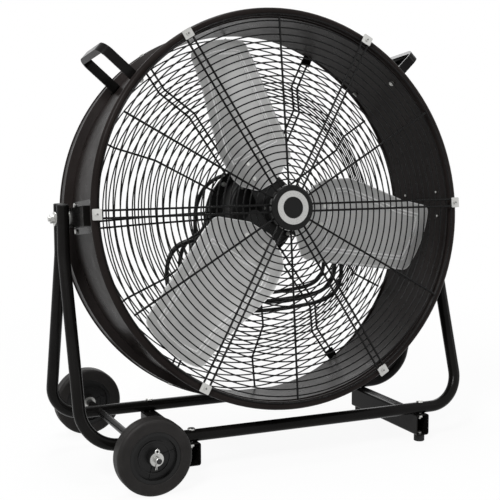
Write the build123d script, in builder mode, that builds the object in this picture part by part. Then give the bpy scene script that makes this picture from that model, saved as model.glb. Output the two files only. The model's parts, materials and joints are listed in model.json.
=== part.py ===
from build123d import *
import os
from math import atan2, cos, degrees, hypot, pi, radians, sin, sqrt, tan

# Tilting drum fan on a two-wheeled tube stand.  Millimetres, +Z up.
# The origin is on the floor, midway between the rails and between the legs.
# Air leaves towards -Y, and +X is on the right of someone who faces the air.

os.makedirs("parts", exist_ok=True)

# ---------------------------------------------------------------- driving dimensions
# fits
slip = 0.05                 # radial clearance of a shaft in its bore
seat = 0.2                  # gap between pieces that are bolted or welded together
hole_play = 0.25            # radial clearance of a bolt in its hole

# stand
tube_dia = 25.4
tube_wall = 1.6
leg_spacing = 887.0         # centre to centre of the left and right legs
rail_spacing = 270.0        # centre to centre of the front and rear rails
pivot_height = 522.0
leg_rise = 27.0             # leg tube above the pivot
knee_drop = 72.0            # from the pivot down to the bend of a leg
knee_radius = 60.0
corner_radius = 76.0        # bend from a leg to its rail
cap_rise = 3.0

# wheels
wheel_dia = 152.0
tyre_width = 38.0
tyre_depth = 25.0
wheel_track = 474.0         # centre to centre of the front and rear wheels
wheel_inset = 110.5         # from the left leg's centre to the axle
axle_dia = 12.7
sleeve_wall = 1.8
hub_length = 46.0
hub_bore_wall = 9.0
washer_thickness = 2.0
split_pin_dia = 3.2
hub_rim = 7.0
web_half = 9.0              # half the thickness of a hub's web
web_relief = 2.0            # a hub's ribs and ring stand this far off its web
hub_ring = 2.5
hub_rib = 1.6
rib_start = 135.0           # angle of the first rib
tyre_shoulder = 8.0

# cross-members and feet
beam_width = 32.0
beam_height = 48.0
beam_wall = 2.5
beam_overhang = 14.0        # past the rail centres
left_beam_inset = 228.5     # from the left leg's centre to the beam's
right_beam_inset = 106.5
foot_dia = 24.0
rail_bolt_dia = 8.0
foot_stud_r = 3.0
rail_bolt_head = 3.5

# drum
rest_tilt = 6.7             # the front leans back by this much
drum_rim_dia = 840.0
wall_dia = 804.0            # outside of the plain wall
band_dia = 836.0            # outside of the wide rear band
sheet = 2.0
front_bead_dia = 18.0
rear_bead_dia = 8.0
front_bead_z = 136.0        # bead centres along the drum's axis, forward of the pivot
rear_bead_z = -110.0
band_depth = 28.0
joggle = 12.0
front_flare = 8.0

# guards
ring_wire = 3.0
spoke_wire = 4.5
ring_pitch = 14.4
front_ring_first = 60.0
front_ring_count = 25
front_dish = 7.0            # the front guard's centre stands this far ahead of its rim
spoke_pair_gap = 15.0
single_spoke_end = 399.0    # the single spokes stop inside the bead
pair_spoke_end = 416.0      # the paired ones reach under the clamps
hub_plate_dia = 90.0
cap_dia = 95.0
cap_depth = 13.0
badge_dia = 70.0
badge_bore = 45.0
badge_thickness = 1.2
rear_turn = 2.2             # degrees by which the rear guard is turned in the drum
rear_rim_z = -103.0
rear_flat_inner = 332.0     # the flat outer zone of the rear guard ends here
rear_step_inner = 256.0
rear_well_z = -27.0
rear_ring_last = 398.0
clamp_sheet = 2.0
clamp_length = 19.0         # along the radius
clamp_width = 22.0
clamp_corner = 2.0
clamp_screw_dia = 4.0
clamp_screw_reach = 8.0     # into the bead
clamp_head = 2.6
clip_sheet = 2.5
clip_width = 22.0
clip_bolt_dia = 6.0
rear_bend = 5.0
guard_plate_sheet = 3.0
cap_screw_dia = 6.0
nut_height = 5.0

# motor
motor_dia = 164.0
shell_wall = 2.5
shell_rear_z = -80.0
shell_front_z = 15.0
bell_depth = 15.0
shaft_dia = 17.0
flange_dia = 210.0
flange_thickness = 4.0
mount_bolt_dia = 6.0
through_bolt_dia = 5.0
through_nut = 4.0
bolt_circle_r = 73.0        # through bolts of the motor
bell_sheet = 3.0
bell_edge = 6.0
spigot_depth = 4.0          # bell's lip inside the shell
bearing_dia = 40.0
bearing_width = 12.0
bearing_wall = 6.0
core_half = 27.5            # half the length of the stator core
core_bore_r = 53.0
rotor_r = 52.0
winding_inner = 56.0
winding_reach = 16.0

# impeller
blade_sweep_dia = 756.0
blade_pitch = 20.0
blade_sheet = 2.0
blade_camber_radius = 520.0
impeller_z = 82.0
impeller_phase = 113.0
spider_sheet = 4.0
hub_dia = 58.0
hub_axial = 44.0
rivet_dia = 6.0
set_screw_dia = 6.0
blade_corner = 20.0
emboss_inset = 23.0
emboss_width = 7.0
emboss_rise = 2.2
emboss_start = 128.0        # radius where the embossed band begins
lip_dia = 4.8
arm_inner = 20.0
arm_outer = 130.0
arm_halves = (-42.6, 37.2)  # edges of a spider arm, along the chord
planform_half = 70.0        # half the height of the block that a blade is cut from
camber_half = 150.0         # half the width of the curved band that cuts it
rivet_head = 1.8
rivet_hole_play = 0.05

# handles
handle_angles = {"left": 137.5, "right": 43.0}
handle_reach = 102.0        # from the drum wall to the outside of the grip
handle_length = 146.0
cheek_depth = 13.5          # the grip's folded sides, from its outer face inwards
handle_middle_z = 22.0
strap_width = 21.0
strap_sheet = 3.5
handle_corner = 24.0
handle_bolt_dia = 6.0
handle_foot = 20.0          # the feet turn outwards
handle_bolt_out = 10.0      # from a leg's outer face to its bolt

# pivots
bracket_height = 40.0
bracket_flange = 14.0
bracket_sheet = 3.0
bracket_rear_z = -46.0
bracket_front_z = 112.0
pivot_bolt_dia = 10.0
pivot_washer_dia = 30.0
pivot_nut_height = 8.0
pivot_thread_end = 4.0
bracket_rivet_dia = 5.0
friction_washer = 3.0
washer_sheet = 2.5
bolt_head = 6.0

# controls and cord
box_width = 92.0
box_height = 70.0
box_depth = 42.0
box_wall = 2.5
knob_dia = 30.0
knob_depth = 16.0
cord_dia = 9.0
relief_length = 38.0
relief_dia = 17.0
lid_sheet = 2.0
knob_y = 14.0
switch_size = 26.0
switch_deep = 18.0
stem_dia = 6.0
stem_reach = 13.0
capacitor_dia = 28.0
capacitor_length = 62.0
lid_screw_dia = 3.0
coil_turns = 3.5
coil_rear_z = -83.2
coil_pitch = 10.2
coil_start_x = 62.0
turn_length = 1150.0        # of one turn of the coil, about
tail_reach = 108.0          # from the coil's end to the hanging plug
tail_drop = 132.0
tail_depth = 47.0
plug_neck = 16.0
plug_body = 30.0
plug_wide = 28.0
plug_thick = 23.0

# ---------------------------------------------------------------- derived values
tube_r = tube_dia / 2
leg_x = leg_spacing / 2
wheel_x = wheel_inset - leg_x
left_beam_x = left_beam_inset - leg_x
right_beam_x = leg_x - right_beam_inset
rail_z = wheel_dia / 2
rail_y = rail_spacing / 2
leg_y = tube_r + seat / 2
leg_top = pivot_height + leg_rise
wheel_r = wheel_dia / 2
wheel_y = wheel_track / 2
sleeve_r = axle_dia / 2 + slip + sleeve_wall
hub_face_y = wheel_y - hub_length / 2
beam_top = rail_z - tube_r
beam_bottom = beam_top - beam_height
beam_half = rail_y + beam_overhang
rim_r = drum_rim_dia / 2
wall_r = wall_dia / 2
band_r = band_dia / 2

pivot = Vector(0, 0, pivot_height)
forward = Vector(0, -cos(radians(rest_tilt)), sin(radians(rest_tilt)))
upward = Vector(0, sin(radians(rest_tilt)), cos(radians(rest_tilt)))
head = Plane(origin=pivot, x_dir=(1, 0, 0), z_dir=forward)      # x right, y up, z forward
profile = Plane(origin=pivot, x_dir=(1, 0, 0), z_dir=-upward)   # x radius, y forward
head_axis = Axis(pivot, forward)


def around(step, count, start=0.0):
    """Angles of a ring of copies."""
    return [start + step * i for i in range(count)]


def turned(shape, angles):
    """Copies of a shape turned about the drum's axis."""
    return [shape.rotate(head_axis, angle) for angle in angles]


# ---------------------------------------------------------------- stand: U-frames
def u_frame(side):
    """One bent tube: leg, rail and leg, on the front (-1) or the rear (+1)."""
    knee_z = pivot_height - knee_drop
    corners = [
        (-leg_x, side * leg_y, leg_top),
        (-leg_x, side * leg_y, knee_z),
        (-leg_x, side * rail_y, rail_z),
        (leg_x, side * rail_y, rail_z),
        (leg_x, side * leg_y, knee_z),
        (leg_x, side * leg_y, leg_top),
    ]
    with BuildPart() as tube:
        with BuildLine():
            FilletPolyline(*corners, radius=[knee_radius, corner_radius, corner_radius, knee_radius])
        with BuildSketch(Plane(origin=corners[0], z_dir=(0, 0, -1))):
            Circle(tube_r)
            Circle(tube_r - tube_wall, mode=Mode.SUBTRACT)
        sweep()
        # the pivot bolts pass between the two frames, half in each
        with Locations((0, 0, pivot_height)):
            Cylinder(pivot_bolt_dia / 2 + hole_play, leg_spacing + 2 * tube_dia,
                     rotation=(0, 90, 0), mode=Mode.SUBTRACT)
        # the axle sleeve goes through the rail
        with Locations((wheel_x, side * rail_y, rail_z)):
            Cylinder(sleeve_r + slip, 2 * tube_dia, rotation=(90, 0, 0), mode=Mode.SUBTRACT)
        with Locations((left_beam_x, side * rail_y, rail_z), (right_beam_x, side * rail_y, rail_z)):
            Cylinder(rail_bolt_dia / 2 + hole_play, 2 * tube_dia, mode=Mode.SUBTRACT)
    return tube


front_frame = u_frame(-1)
front_frame.part.label = "front_frame"
export_step(front_frame.part, "parts/front_frame.step")

rear_frame = u_frame(1)
rear_frame.part.label = "rear_frame"
export_step(rear_frame.part, "parts/rear_frame.step")

with BuildPart() as tube_caps:
    for x in (-leg_x, leg_x):
        for y in (-leg_y, leg_y):
            with Locations((x, y, leg_top)):
                Cylinder(tube_r, cap_rise, align=(Align.CENTER, Align.CENTER, Align.MIN))
                Cylinder(tube_r - tube_wall - slip, 9.0, align=(Align.CENTER, Align.CENTER, Align.MAX))
    fillet(tube_caps.edges().group_by(Axis.Z)[-1], cap_rise * 0.8)
tube_caps.part.label = "tube_caps"
export_step(tube_caps.part, "parts/tube_caps.step")

# ---------------------------------------------------------------- stand: cross-members
def cross_member(x, has_feet):
    """A rectangular tube bolted under both rails."""
    with BuildPart() as beam:
        with BuildSketch(Plane.XZ.offset(-beam_half)):
            with Locations((x, beam_top - beam_height / 2)):
                RectangleRounded(beam_width, beam_height, 2 * beam_wall)
                RectangleRounded(beam_width - 2 * beam_wall, beam_height - 2 * beam_wall, beam_wall,
                                 mode=Mode.SUBTRACT)
        extrude(amount=2 * beam_half)
        with Locations((x, -rail_y, beam_top), (x, rail_y, beam_top)):
            Cylinder(rail_bolt_dia / 2 + hole_play, 4 * beam_wall, mode=Mode.SUBTRACT)
        if has_feet:
            with Locations((x, -rail_y, beam_bottom), (x, rail_y, beam_bottom)):
                Cylinder(foot_stud_r + hole_play, 4 * beam_wall, mode=Mode.SUBTRACT)
    return beam


left_cross_member = cross_member(left_beam_x, False)
left_cross_member.part.label = "left_cross_member"
export_step(left_cross_member.part, "parts/left_cross_member.step")

right_cross_member = cross_member(right_beam_x, True)
right_cross_member.part.label = "right_cross_member"
export_step(right_cross_member.part, "parts/right_cross_member.step")

with BuildPart() as rubber_feet:
    with Locations((right_beam_x, -rail_y, 0), (right_beam_x, rail_y, 0)):
        Cylinder(foot_dia / 2, beam_bottom, align=(Align.CENTER, Align.CENTER, Align.MIN))
    fillet(rubber_feet.edges().group_by(Axis.Z)[0], 2.0)
rubber_feet.part.label = "rubber_feet"
export_step(rubber_feet.part, "parts/rubber_feet.step")

with BuildPart() as foot_screws:
    with Locations((right_beam_x, -rail_y, beam_bottom), (right_beam_x, rail_y, beam_bottom)):
        Cylinder(foot_stud_r, beam_wall, align=(Align.CENTER, Align.CENTER, Align.MIN))
    with Locations((right_beam_x, -rail_y, beam_bottom + beam_wall),
                   (right_beam_x, rail_y, beam_bottom + beam_wall)):
        Cylinder(2 * foot_stud_r, foot_stud_r, align=(Align.CENTER, Align.CENTER, Align.MIN))
foot_screws.part.label = "foot_screws"
export_step(foot_screws.part, "parts/foot_screws.step")

with BuildPart() as rail_bolts:
    for x in (left_beam_x, right_beam_x):
        for y in (-rail_y, rail_y):
            with Locations((x, y, rail_z + tube_r)):
                Cylinder(rail_bolt_dia, rail_bolt_head, align=(Align.CENTER, Align.CENTER, Align.MIN))
                Cylinder(rail_bolt_dia / 2, tube_dia + beam_wall + 10.0,
                         align=(Align.CENTER, Align.CENTER, Align.MAX))
    fillet(rail_bolts.edges().group_by(Axis.Z)[-1], 2.0)

with BuildPart() as rail_nuts:
    for x in (left_beam_x, right_beam_x):
        for y in (-rail_y, rail_y):
            with BuildSketch(Plane((x, y, beam_top - beam_wall))):
                RegularPolygon(rail_bolt_dia * 0.93, 6)
                Circle(rail_bolt_dia / 2 + slip, mode=Mode.SUBTRACT)
    extrude(amount=-rail_bolt_dia * 0.8)
rail_fasteners = Compound(label="rail_bolts", children=[rail_bolts.part, rail_nuts.part])
export_step(rail_fasteners, "parts/rail_bolts.step")

# ---------------------------------------------------------------- axle and wheels
axle_half = wheel_y + hub_length / 2 + 2 * washer_thickness + 11.0
along_y = dict(rotation=(90, 0, 0))

with BuildPart() as axle_sleeve:
    with Locations((wheel_x, 0, rail_z)):
        Cylinder(sleeve_r, 2 * (hub_face_y - washer_thickness), **along_y)
        Cylinder(axle_dia / 2 + slip, 2 * wheel_y, mode=Mode.SUBTRACT, **along_y)
axle_sleeve.part.label = "axle_sleeve"
export_step(axle_sleeve.part, "parts/axle_sleeve.step")

pin_y = wheel_y + hub_length / 2 + washer_thickness + split_pin_dia / 2 + 0.5
with BuildPart() as axle_rod:
    with Locations((wheel_x, 0, rail_z)):
        Cylinder(axle_dia / 2, 2 * axle_half, **along_y)
    chamfer(axle_rod.edges().group_by(Axis.Y)[0] + axle_rod.edges().group_by(Axis.Y)[-1], 1.2)
    with Locations((wheel_x, -pin_y, rail_z), (wheel_x, pin_y, rail_z)):
        Cylinder(split_pin_dia / 2 + slip, 2 * axle_dia, mode=Mode.SUBTRACT)
axle_rod.part.label = "axle_rod"
export_step(axle_rod.part, "parts/axle_rod.step")

washer_r = axle_dia + 1.0
with BuildPart() as axle_washers:
    for side in (-1, 1):
        for y in (hub_face_y - washer_thickness / 2, hub_face_y + hub_length + washer_thickness / 2):
            with Locations((wheel_x, side * y, rail_z)):
                Cylinder(washer_r, washer_thickness - 2 * slip, **along_y)
                Cylinder(axle_dia / 2 + slip, 2 * washer_thickness, mode=Mode.SUBTRACT, **along_y)
axle_washers.part.label = "axle_washers"
export_step(axle_washers.part, "parts/axle_washers.step")

with BuildPart() as split_pins:
    for side in (-1, 1):
        with Locations((wheel_x, side * pin_y, rail_z)):
            Cylinder(split_pin_dia / 2, 2 * axle_dia)
        with Locations((wheel_x, side * pin_y, rail_z + axle_dia + split_pin_dia)):
            Torus(split_pin_dia * 1.2, split_pin_dia / 2, rotation=(90, 0, 0))
split_pins.part.label = "split_pins"
export_step(split_pins.part, "parts/split_pins.step")

tyre_inner = wheel_r - tyre_depth
hub_r = tyre_inner - slip
hub_rim_width = tyre_width - 4.0
hub_boss_r = axle_dia / 2 + slip + hub_bore_wall


def wheel_hub(side):
    """Moulded hub with a recessed web, a raised ring and three ribs on each face."""
    centre = (wheel_x, side * wheel_y, rail_z)
    across = Plane(origin=centre, x_dir=(1, 0, 0), z_dir=(0, 0, 1))
    with BuildPart() as hub:
        with BuildSketch(across):
            with Locations((hub_r - hub_rim / 2, 0)):
                Rectangle(hub_rim, hub_rim_width)
            with Locations((hub_boss_r / 2, 0)):
                Rectangle(hub_boss_r, hub_length)
            with Locations((hub_r / 2, 0)):
                Rectangle(hub_r, 2 * web_half)
            with Locations((tyre_inner * 0.62, 0)):
                Rectangle(hub_ring, 2 * (web_half + web_relief))
        revolve(axis=Axis(centre, (0, 1, 0)))
        for angle in around(120, 3, rib_start):
            direction = Vector(cos(radians(angle)), 0, sin(radians(angle)))
            with BuildSketch(Plane(origin=centre, x_dir=direction, z_dir=(0, 1, 0))):
                with Locations(((hub_boss_r + hub_r - hub_rim / 2) / 2, 0)):
                    Rectangle(hub_r - hub_rim / 2 - hub_boss_r, hub_rib)
            extrude(amount=web_half + web_relief, both=True)
        with Locations(centre):
            Cylinder(axle_dia / 2 + slip, 2 * hub_length, mode=Mode.SUBTRACT, **along_y)
    return hub


def wheel_tyre(side):
    """Solid rubber tyre with a rounded tread."""
    centre = (wheel_x, side * wheel_y, rail_z)
    with BuildPart() as tyre:
        with BuildSketch(Plane(origin=centre, x_dir=(1, 0, 0), z_dir=(0, 0, 1))) as section:
            with Locations((tyre_inner + tyre_depth / 2, 0)):
                Rectangle(tyre_depth, tyre_width)
            fillet(section.vertices().group_by(Axis.X)[-1], tyre_shoulder)
            fillet(section.vertices().group_by(Axis.X)[0], 2.0)
        revolve(axis=Axis(centre, (0, 1, 0)))
    return tyre


front_hub = wheel_hub(-1)
front_hub.part.label = "front_hub"
export_step(front_hub.part, "parts/front_hub.step")

rear_hub = wheel_hub(1)
rear_hub.part.label = "rear_hub"
export_step(rear_hub.part, "parts/rear_hub.step")

front_tyre = wheel_tyre(-1)
front_tyre.part.label = "front_tyre"
export_step(front_tyre.part, "parts/front_tyre.step")

rear_tyre = wheel_tyre(1)
rear_tyre.part.label = "rear_tyre"
export_step(rear_tyre.part, "parts/rear_tyre.step")

# ---------------------------------------------------------------- drum
band_front_z = rear_bead_z + band_depth
front_bead_r = rim_r - front_bead_dia / 2
rear_bead_r = rim_r - rear_bead_dia / 2
wall_front_z = front_bead_z - front_flare
pair_angles = around(60, 6)
single_angles = around(60, 6, 30)
rear_pair_angles = around(60, 6, rear_turn)
rear_single_angles = around(60, 6, 30 + rear_turn)

clip_bolt_z = rear_bead_z + band_depth * 0.7
handle_bolt_half = handle_length / 2 + handle_bolt_out
handle_bolt_zs = (handle_middle_z - handle_bolt_half, handle_middle_z + handle_bolt_half)
bracket_rivet_y = bracket_height / 2 + bracket_flange / 2
bracket_rivet_zs = (bracket_rear_z + 14.0, bracket_front_z - 14.0)
bracket_rivet_places = [(y, z) for y in (-bracket_rivet_y, bracket_rivet_y) for z in bracket_rivet_zs]


def radial_rods(dia, inner, outer, places):
    """Rods along the radius at angle 0, one at each (y, z) place."""
    with BuildPart(head) as rods:
        for y, z in places:
            with Locations((inner, y, z)):
                Cylinder(dia / 2, outer - inner, rotation=(0, 90, 0),
                         align=(Align.CENTER, Align.CENTER, Align.MIN))
    return rods.part


def axial_rods(dia, rear, front, radius):
    """A rod along the drum's axis at angle 0 and the given radius."""
    with BuildPart(head) as rods:
        with Locations((radius, 0, rear)):
            Cylinder(dia / 2, front - rear, align=(Align.CENTER, Align.CENTER, Align.MIN))
    return rods.part


with BuildPart() as drum:
    with BuildSketch(profile):
        with BuildLine():
            Polyline((band_r - sheet / 2, rear_bead_z), (band_r - sheet / 2, band_front_z),
                     (wall_r - sheet / 2, band_front_z + joggle), (wall_r - sheet / 2, wall_front_z),
                     (front_bead_r, front_bead_z))
        trace(line_width=sheet)
        with Locations((front_bead_r, front_bead_z)):
            Circle(front_bead_dia / 2)
        with Locations((rear_bead_r, rear_bead_z)):
            Circle(rear_bead_dia / 2)
    revolve(axis=head_axis)
    handle_holes = radial_rods(handle_bolt_dia + 2 * hole_play, wall_r - 4 * sheet, wall_r + sheet,
                               [(0, z) for z in handle_bolt_zs])
    rivet_holes = radial_rods(bracket_rivet_dia + 2 * rivet_hole_play, wall_r - 5 * sheet,
                              wall_r + sheet, bracket_rivet_places)
    clip_holes = radial_rods(clip_bolt_dia + 2 * hole_play, band_r - 4 * sheet, band_r + 2 * sheet,
                             [(0, clip_bolt_z)])
    screw_holes = axial_rods(clamp_screw_dia + 2 * slip,
                             front_bead_z + front_bead_dia / 2 - clamp_screw_reach,
                             front_bead_z + front_bead_dia, front_bead_r)
    add(turned(handle_holes, handle_angles.values()), mode=Mode.SUBTRACT)
    add(turned(rivet_holes, (0, 180)), mode=Mode.SUBTRACT)
    add(turned(clip_holes, rear_pair_angles), mode=Mode.SUBTRACT)
    add(turned(screw_holes, pair_angles), mode=Mode.SUBTRACT)
drum.part.label = "drum"
export_step(drum.part, "parts/drum.step")

# ---------------------------------------------------------------- front guard
ring_r = ring_wire / 2
spoke_r = spoke_wire / 2
weld = slip                         # crossing wires touch to within this
crossing = ring_r + spoke_r + weld
front_ring_last = front_ring_first + ring_pitch * (front_ring_count - 1)
front_rim_z = front_bead_z + sqrt((front_bead_dia / 2 + ring_r + seat) ** 2
                                  - (front_bead_r - front_ring_last) ** 2)
pair_offsets = (-spoke_pair_gap / 2, spoke_pair_gap / 2)
hub_plate_r = hub_plate_dia / 2


def front_z(radius):
    """Depth of the ring wires, which lie on a shallow cone."""
    return front_rim_z + front_dish * (front_ring_last - radius) / front_ring_last


def ring_wires(places):
    """One ring of eight-sided wire for each (radius, depth)."""
    rings = []
    for radius, depth in places:
        with BuildPart() as ring:
            with BuildSketch(profile):
                with Locations((radius, depth)):
                    RegularPolygon(ring_r, 8)
            revolve(axis=head_axis)
        rings.append(ring.part)
    return rings


def spoke(points, beside, bend=None):
    """One spoke wire beside the radius at angle 0."""
    with BuildPart() as wire:
        with BuildLine(profile.offset(beside)) as route:
            if bend:
                FilletPolyline(*points, radius=bend)
            else:
                Line(*points)
        with BuildSketch(Plane(origin=route.line @ 0, z_dir=route.line % 0)):
            Circle(spoke_r)
        sweep()
    return wire.part


def front_spoke_line(end):
    """The two ends of a front spoke that stops at a radius."""
    return [(hub_plate_r + weld, front_z(hub_plate_r) + crossing), (end, front_z(end) + crossing)]


front_rings = [(front_ring_first + ring_pitch * i, front_z(front_ring_first + ring_pitch * i))
               for i in range(front_ring_count)]
hub_plate_z = front_z(hub_plate_r) + crossing
hub_plate_thickness = spoke_wire + 2 * weld
with BuildPart(head.offset(hub_plate_z)) as hub_plate:
    Cylinder(hub_plate_r - weld, hub_plate_thickness)
    Cylinder(cap_screw_dia / 2 + hole_play, 2 * hub_plate_thickness, mode=Mode.SUBTRACT)

front_wires = ring_wires(front_rings)
for beside in pair_offsets:
    front_wires += turned(spoke(front_spoke_line(pair_spoke_end), beside), pair_angles)
front_wires += turned(spoke(front_spoke_line(single_spoke_end), 0), single_angles)
front_guard = Compound(label="front_guard", children=front_wires + [hub_plate.part])
export_step(front_guard, "parts/front_guard.step")

# ---------------------------------------------------------------- clamps on the front bead
clamp_inner_r = front_bead_r - clamp_length / 2
clamp_face_z = front_z(clamp_inner_r) + crossing + spoke_r + seat
with BuildPart(head.offset(clamp_face_z)) as one_clamp:
    with Locations((front_bead_r, 0, 0)):
        Box(clamp_length, clamp_width, clamp_sheet, align=(Align.CENTER, Align.CENTER, Align.MIN))
        Cylinder(clamp_screw_dia / 2 + slip, 4 * clamp_sheet, mode=Mode.SUBTRACT)
    fillet(one_clamp.edges().filter_by(head_axis), clamp_corner)
guard_clamps = Compound(label="guard_clamps", children=turned(one_clamp.part, pair_angles))
export_step(guard_clamps, "parts/guard_clamps.step")

with BuildPart(head) as one_clamp_screw:
    with Locations((front_bead_r, 0, clamp_face_z + clamp_sheet)):
        Cylinder(clamp_screw_dia, clamp_head, align=(Align.CENTER, Align.CENTER, Align.MIN))
        Cylinder(clamp_screw_dia / 2, clamp_face_z + clamp_sheet - front_bead_z
                 - front_bead_dia / 2 + clamp_screw_reach - 1.0,
                 align=(Align.CENTER, Align.CENTER, Align.MAX))
clamp_screws = Compound(label="clamp_screws", children=turned(one_clamp_screw.part, pair_angles))
export_step(clamp_screws, "parts/clamp_screws.step")

# ---------------------------------------------------------------- hub cap and its plain ring
cap_rear_z = hub_plate_z + hub_plate_thickness / 2 + slip
cap_front_z = cap_rear_z + cap_depth
with BuildPart(head.offset(cap_rear_z)) as hub_cap:
    Cylinder(cap_dia / 2, cap_depth, align=(Align.CENTER, Align.CENTER, Align.MIN))
    fillet(hub_cap.edges().filter_by(GeomType.CIRCLE).sort_by(head_axis)[-1], 4.0)
    with Locations((0, 0, -slip)):
        Cylinder(cap_screw_dia / 2 + slip, cap_depth * 0.6, mode=Mode.SUBTRACT,
                 align=(Align.CENTER, Align.CENTER, Align.MIN))
hub_cap.part.label = "hub_cap"
export_step(hub_cap.part, "parts/hub_cap.step")

with BuildPart(head.offset(cap_front_z)) as badge_ring:
    Cylinder(badge_dia / 2, badge_thickness, align=(Align.CENTER, Align.CENTER, Align.MIN))
    Cylinder(badge_bore / 2, 3 * badge_thickness, mode=Mode.SUBTRACT)
badge_ring.part.label = "badge_ring"
export_step(badge_ring.part, "parts/badge_ring.step")

with BuildPart(head.offset(hub_plate_z - hub_plate_thickness / 2)) as cap_screw:
    Cylinder(cap_screw_dia, 4.0, align=(Align.CENTER, Align.CENTER, Align.MAX))
    Cylinder(cap_screw_dia / 2, hub_plate_thickness + cap_depth * 0.45,
             align=(Align.CENTER, Align.CENTER, Align.MIN))
cap_screw.part.label = "cap_screw"
export_step(cap_screw.part, "parts/cap_screw.step")

# ---------------------------------------------------------------- rear guard
flange_r = flange_dia / 2
motor_r = motor_dia / 2
step_rise = rear_well_z - rear_rim_z
step_run = rear_flat_inner - rear_step_inner
step_length = hypot(step_rise, step_run)
rear_flat = rear_ring_last - rear_flat_inner


def rear_place(along):
    """Radius and depth at a distance along the rear guard's section, from its rim inwards."""
    if along <= rear_flat:
        return rear_ring_last - along, rear_rim_z
    if along <= rear_flat + step_length:
        share = (along - rear_flat) / step_length
        return rear_flat_inner - share * step_run, rear_rim_z + share * step_rise
    return rear_step_inner - (along - rear_flat - step_length), rear_well_z


section_length = rear_flat + step_length + rear_step_inner - flange_r
rear_ring_count = int((section_length - ring_pitch / 2) / ring_pitch) + 1
rear_rings = [rear_place(ring_pitch * i) for i in range(rear_ring_count)]

# the spokes lie behind the rings, so their bends are shifted along both normals
slope = atan2(step_rise, step_run)
shift = crossing * tan(slope / 2)
rear_spoke_line = [(rear_ring_last + 4.0, rear_rim_z - crossing),
                   (rear_flat_inner - shift, rear_rim_z - crossing),
                   (rear_step_inner - shift, rear_well_z - crossing),
                   (motor_r + 9.0, rear_well_z - crossing)]
rear_wires = ring_wires(rear_rings)
for beside in pair_offsets:
    rear_wires += turned(spoke(rear_spoke_line, beside, rear_bend), rear_pair_angles)
rear_wires += turned(spoke(rear_spoke_line, 0, rear_bend), rear_single_angles)
rear_guard = Compound(label="rear_guard", children=rear_wires)
export_step(rear_guard, "parts/rear_guard.step")

clip_leg_z = rear_rim_z + ring_r + weld + clip_sheet / 2
clip_wall_r = band_r - sheet - seat - clip_sheet / 2
with BuildPart() as one_clip:
    with BuildSketch(profile):
        with BuildLine():
            Polyline((rear_ring_last - 9.0, clip_leg_z), (clip_wall_r, clip_leg_z),
                     (clip_wall_r, band_front_z - 1.0))
        trace(line_width=clip_sheet)
    extrude(amount=clip_width / 2, both=True)
    add(radial_rods(clip_bolt_dia + 2 * hole_play, clip_wall_r - 3 * clip_sheet,
                    clip_wall_r + 3 * clip_sheet, [(0, clip_bolt_z)]), mode=Mode.SUBTRACT)
rear_clips = Compound(label="rear_clips", children=turned(one_clip.part, rear_pair_angles))
export_step(rear_clips, "parts/rear_clips.step")

clip_face_r = clip_wall_r - clip_sheet / 2
band_face_r = band_r + seat
with BuildPart(head) as one_clip_bolt:
    with Locations((band_face_r, 0, clip_bolt_z)):
        Cylinder(clip_bolt_dia * 0.9, 3.5, rotation=(0, 90, 0),
                 align=(Align.CENTER, Align.CENTER, Align.MIN))
        Cylinder(clip_bolt_dia / 2, band_face_r - clip_face_r + nut_height + 1.5,
                 rotation=(0, 90, 0), align=(Align.CENTER, Align.CENTER, Align.MAX))


def radial_nut(bolt_dia, height, face_r, place_z):
    """Hexagon nut on a radial bolt at angle 0, inside the face radius."""
    with BuildPart() as nut:
        with BuildSketch(Plane(origin=pivot + face_r * head.x_dir + place_z * forward,
                               x_dir=forward, z_dir=-head.x_dir)):
            RegularPolygon(bolt_dia * 0.93, 6)
            Circle(bolt_dia / 2 + slip, mode=Mode.SUBTRACT)
        extrude(amount=height)
    return nut.part


clip_nut = radial_nut(clip_bolt_dia, nut_height, clip_face_r - slip, clip_bolt_z)
clip_bolts = Compound(label="clip_bolts", children=turned(one_clip_bolt.part, rear_pair_angles)
                      + turned(clip_nut, rear_pair_angles))
export_step(clip_bolts, "parts/clip_bolts.step")

# ---------------------------------------------------------------- carrying handles
foot_r = wall_r + seat
handle_outer_r = wall_r + handle_reach
with BuildPart() as cheeks:
    with BuildSketch(profile) as cheek:
        with Locations((handle_outer_r, handle_middle_z)):
            Rectangle(handle_reach, handle_length, align=(Align.MAX, Align.CENTER))
        fillet(cheek.vertices().group_by(Axis.X)[-1], handle_corner + strap_sheet / 2)
        with Locations((handle_outer_r, handle_middle_z)):
            Rectangle(2 * cheek_depth, handle_length, mode=Mode.INTERSECT)
    extrude(amount=strap_width / 2, both=True)
    with BuildSketch(profile):
        with Locations((handle_outer_r, handle_middle_z)):
            Rectangle(2 * handle_reach, 2 * handle_length)
    extrude(amount=strap_width / 2 - strap_sheet, both=True, mode=Mode.SUBTRACT)

with BuildPart() as strap:
    add(cheeks.part)
    rear_end = handle_middle_z - handle_length / 2 + strap_sheet / 2
    front_end = handle_middle_z + handle_length / 2 - strap_sheet / 2
    grip_r = handle_outer_r - strap_sheet / 2
    with BuildSketch(profile):
        with BuildLine():
            FilletPolyline((foot_r + strap_sheet / 2, rear_end - handle_foot),
                           (foot_r + strap_sheet / 2, rear_end),
                           (grip_r, rear_end), (grip_r, front_end),
                           (foot_r + strap_sheet / 2, front_end),
                           (foot_r + strap_sheet / 2, front_end + handle_foot),
                           radius=[strap_sheet, handle_corner, handle_corner, strap_sheet])
        trace(line_width=strap_sheet)
    extrude(amount=strap_width / 2, both=True)
    add(radial_rods(handle_bolt_dia + 2 * hole_play, foot_r - strap_sheet, foot_r + 3 * strap_sheet,
                    [(0, z) for z in handle_bolt_zs]), mode=Mode.SUBTRACT)

with BuildPart() as left_handle:
    add(strap.part.rotate(head_axis, handle_angles["left"]))
left_handle.part.label = "left_handle"
export_step(left_handle.part, "parts/left_handle.step")

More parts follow.
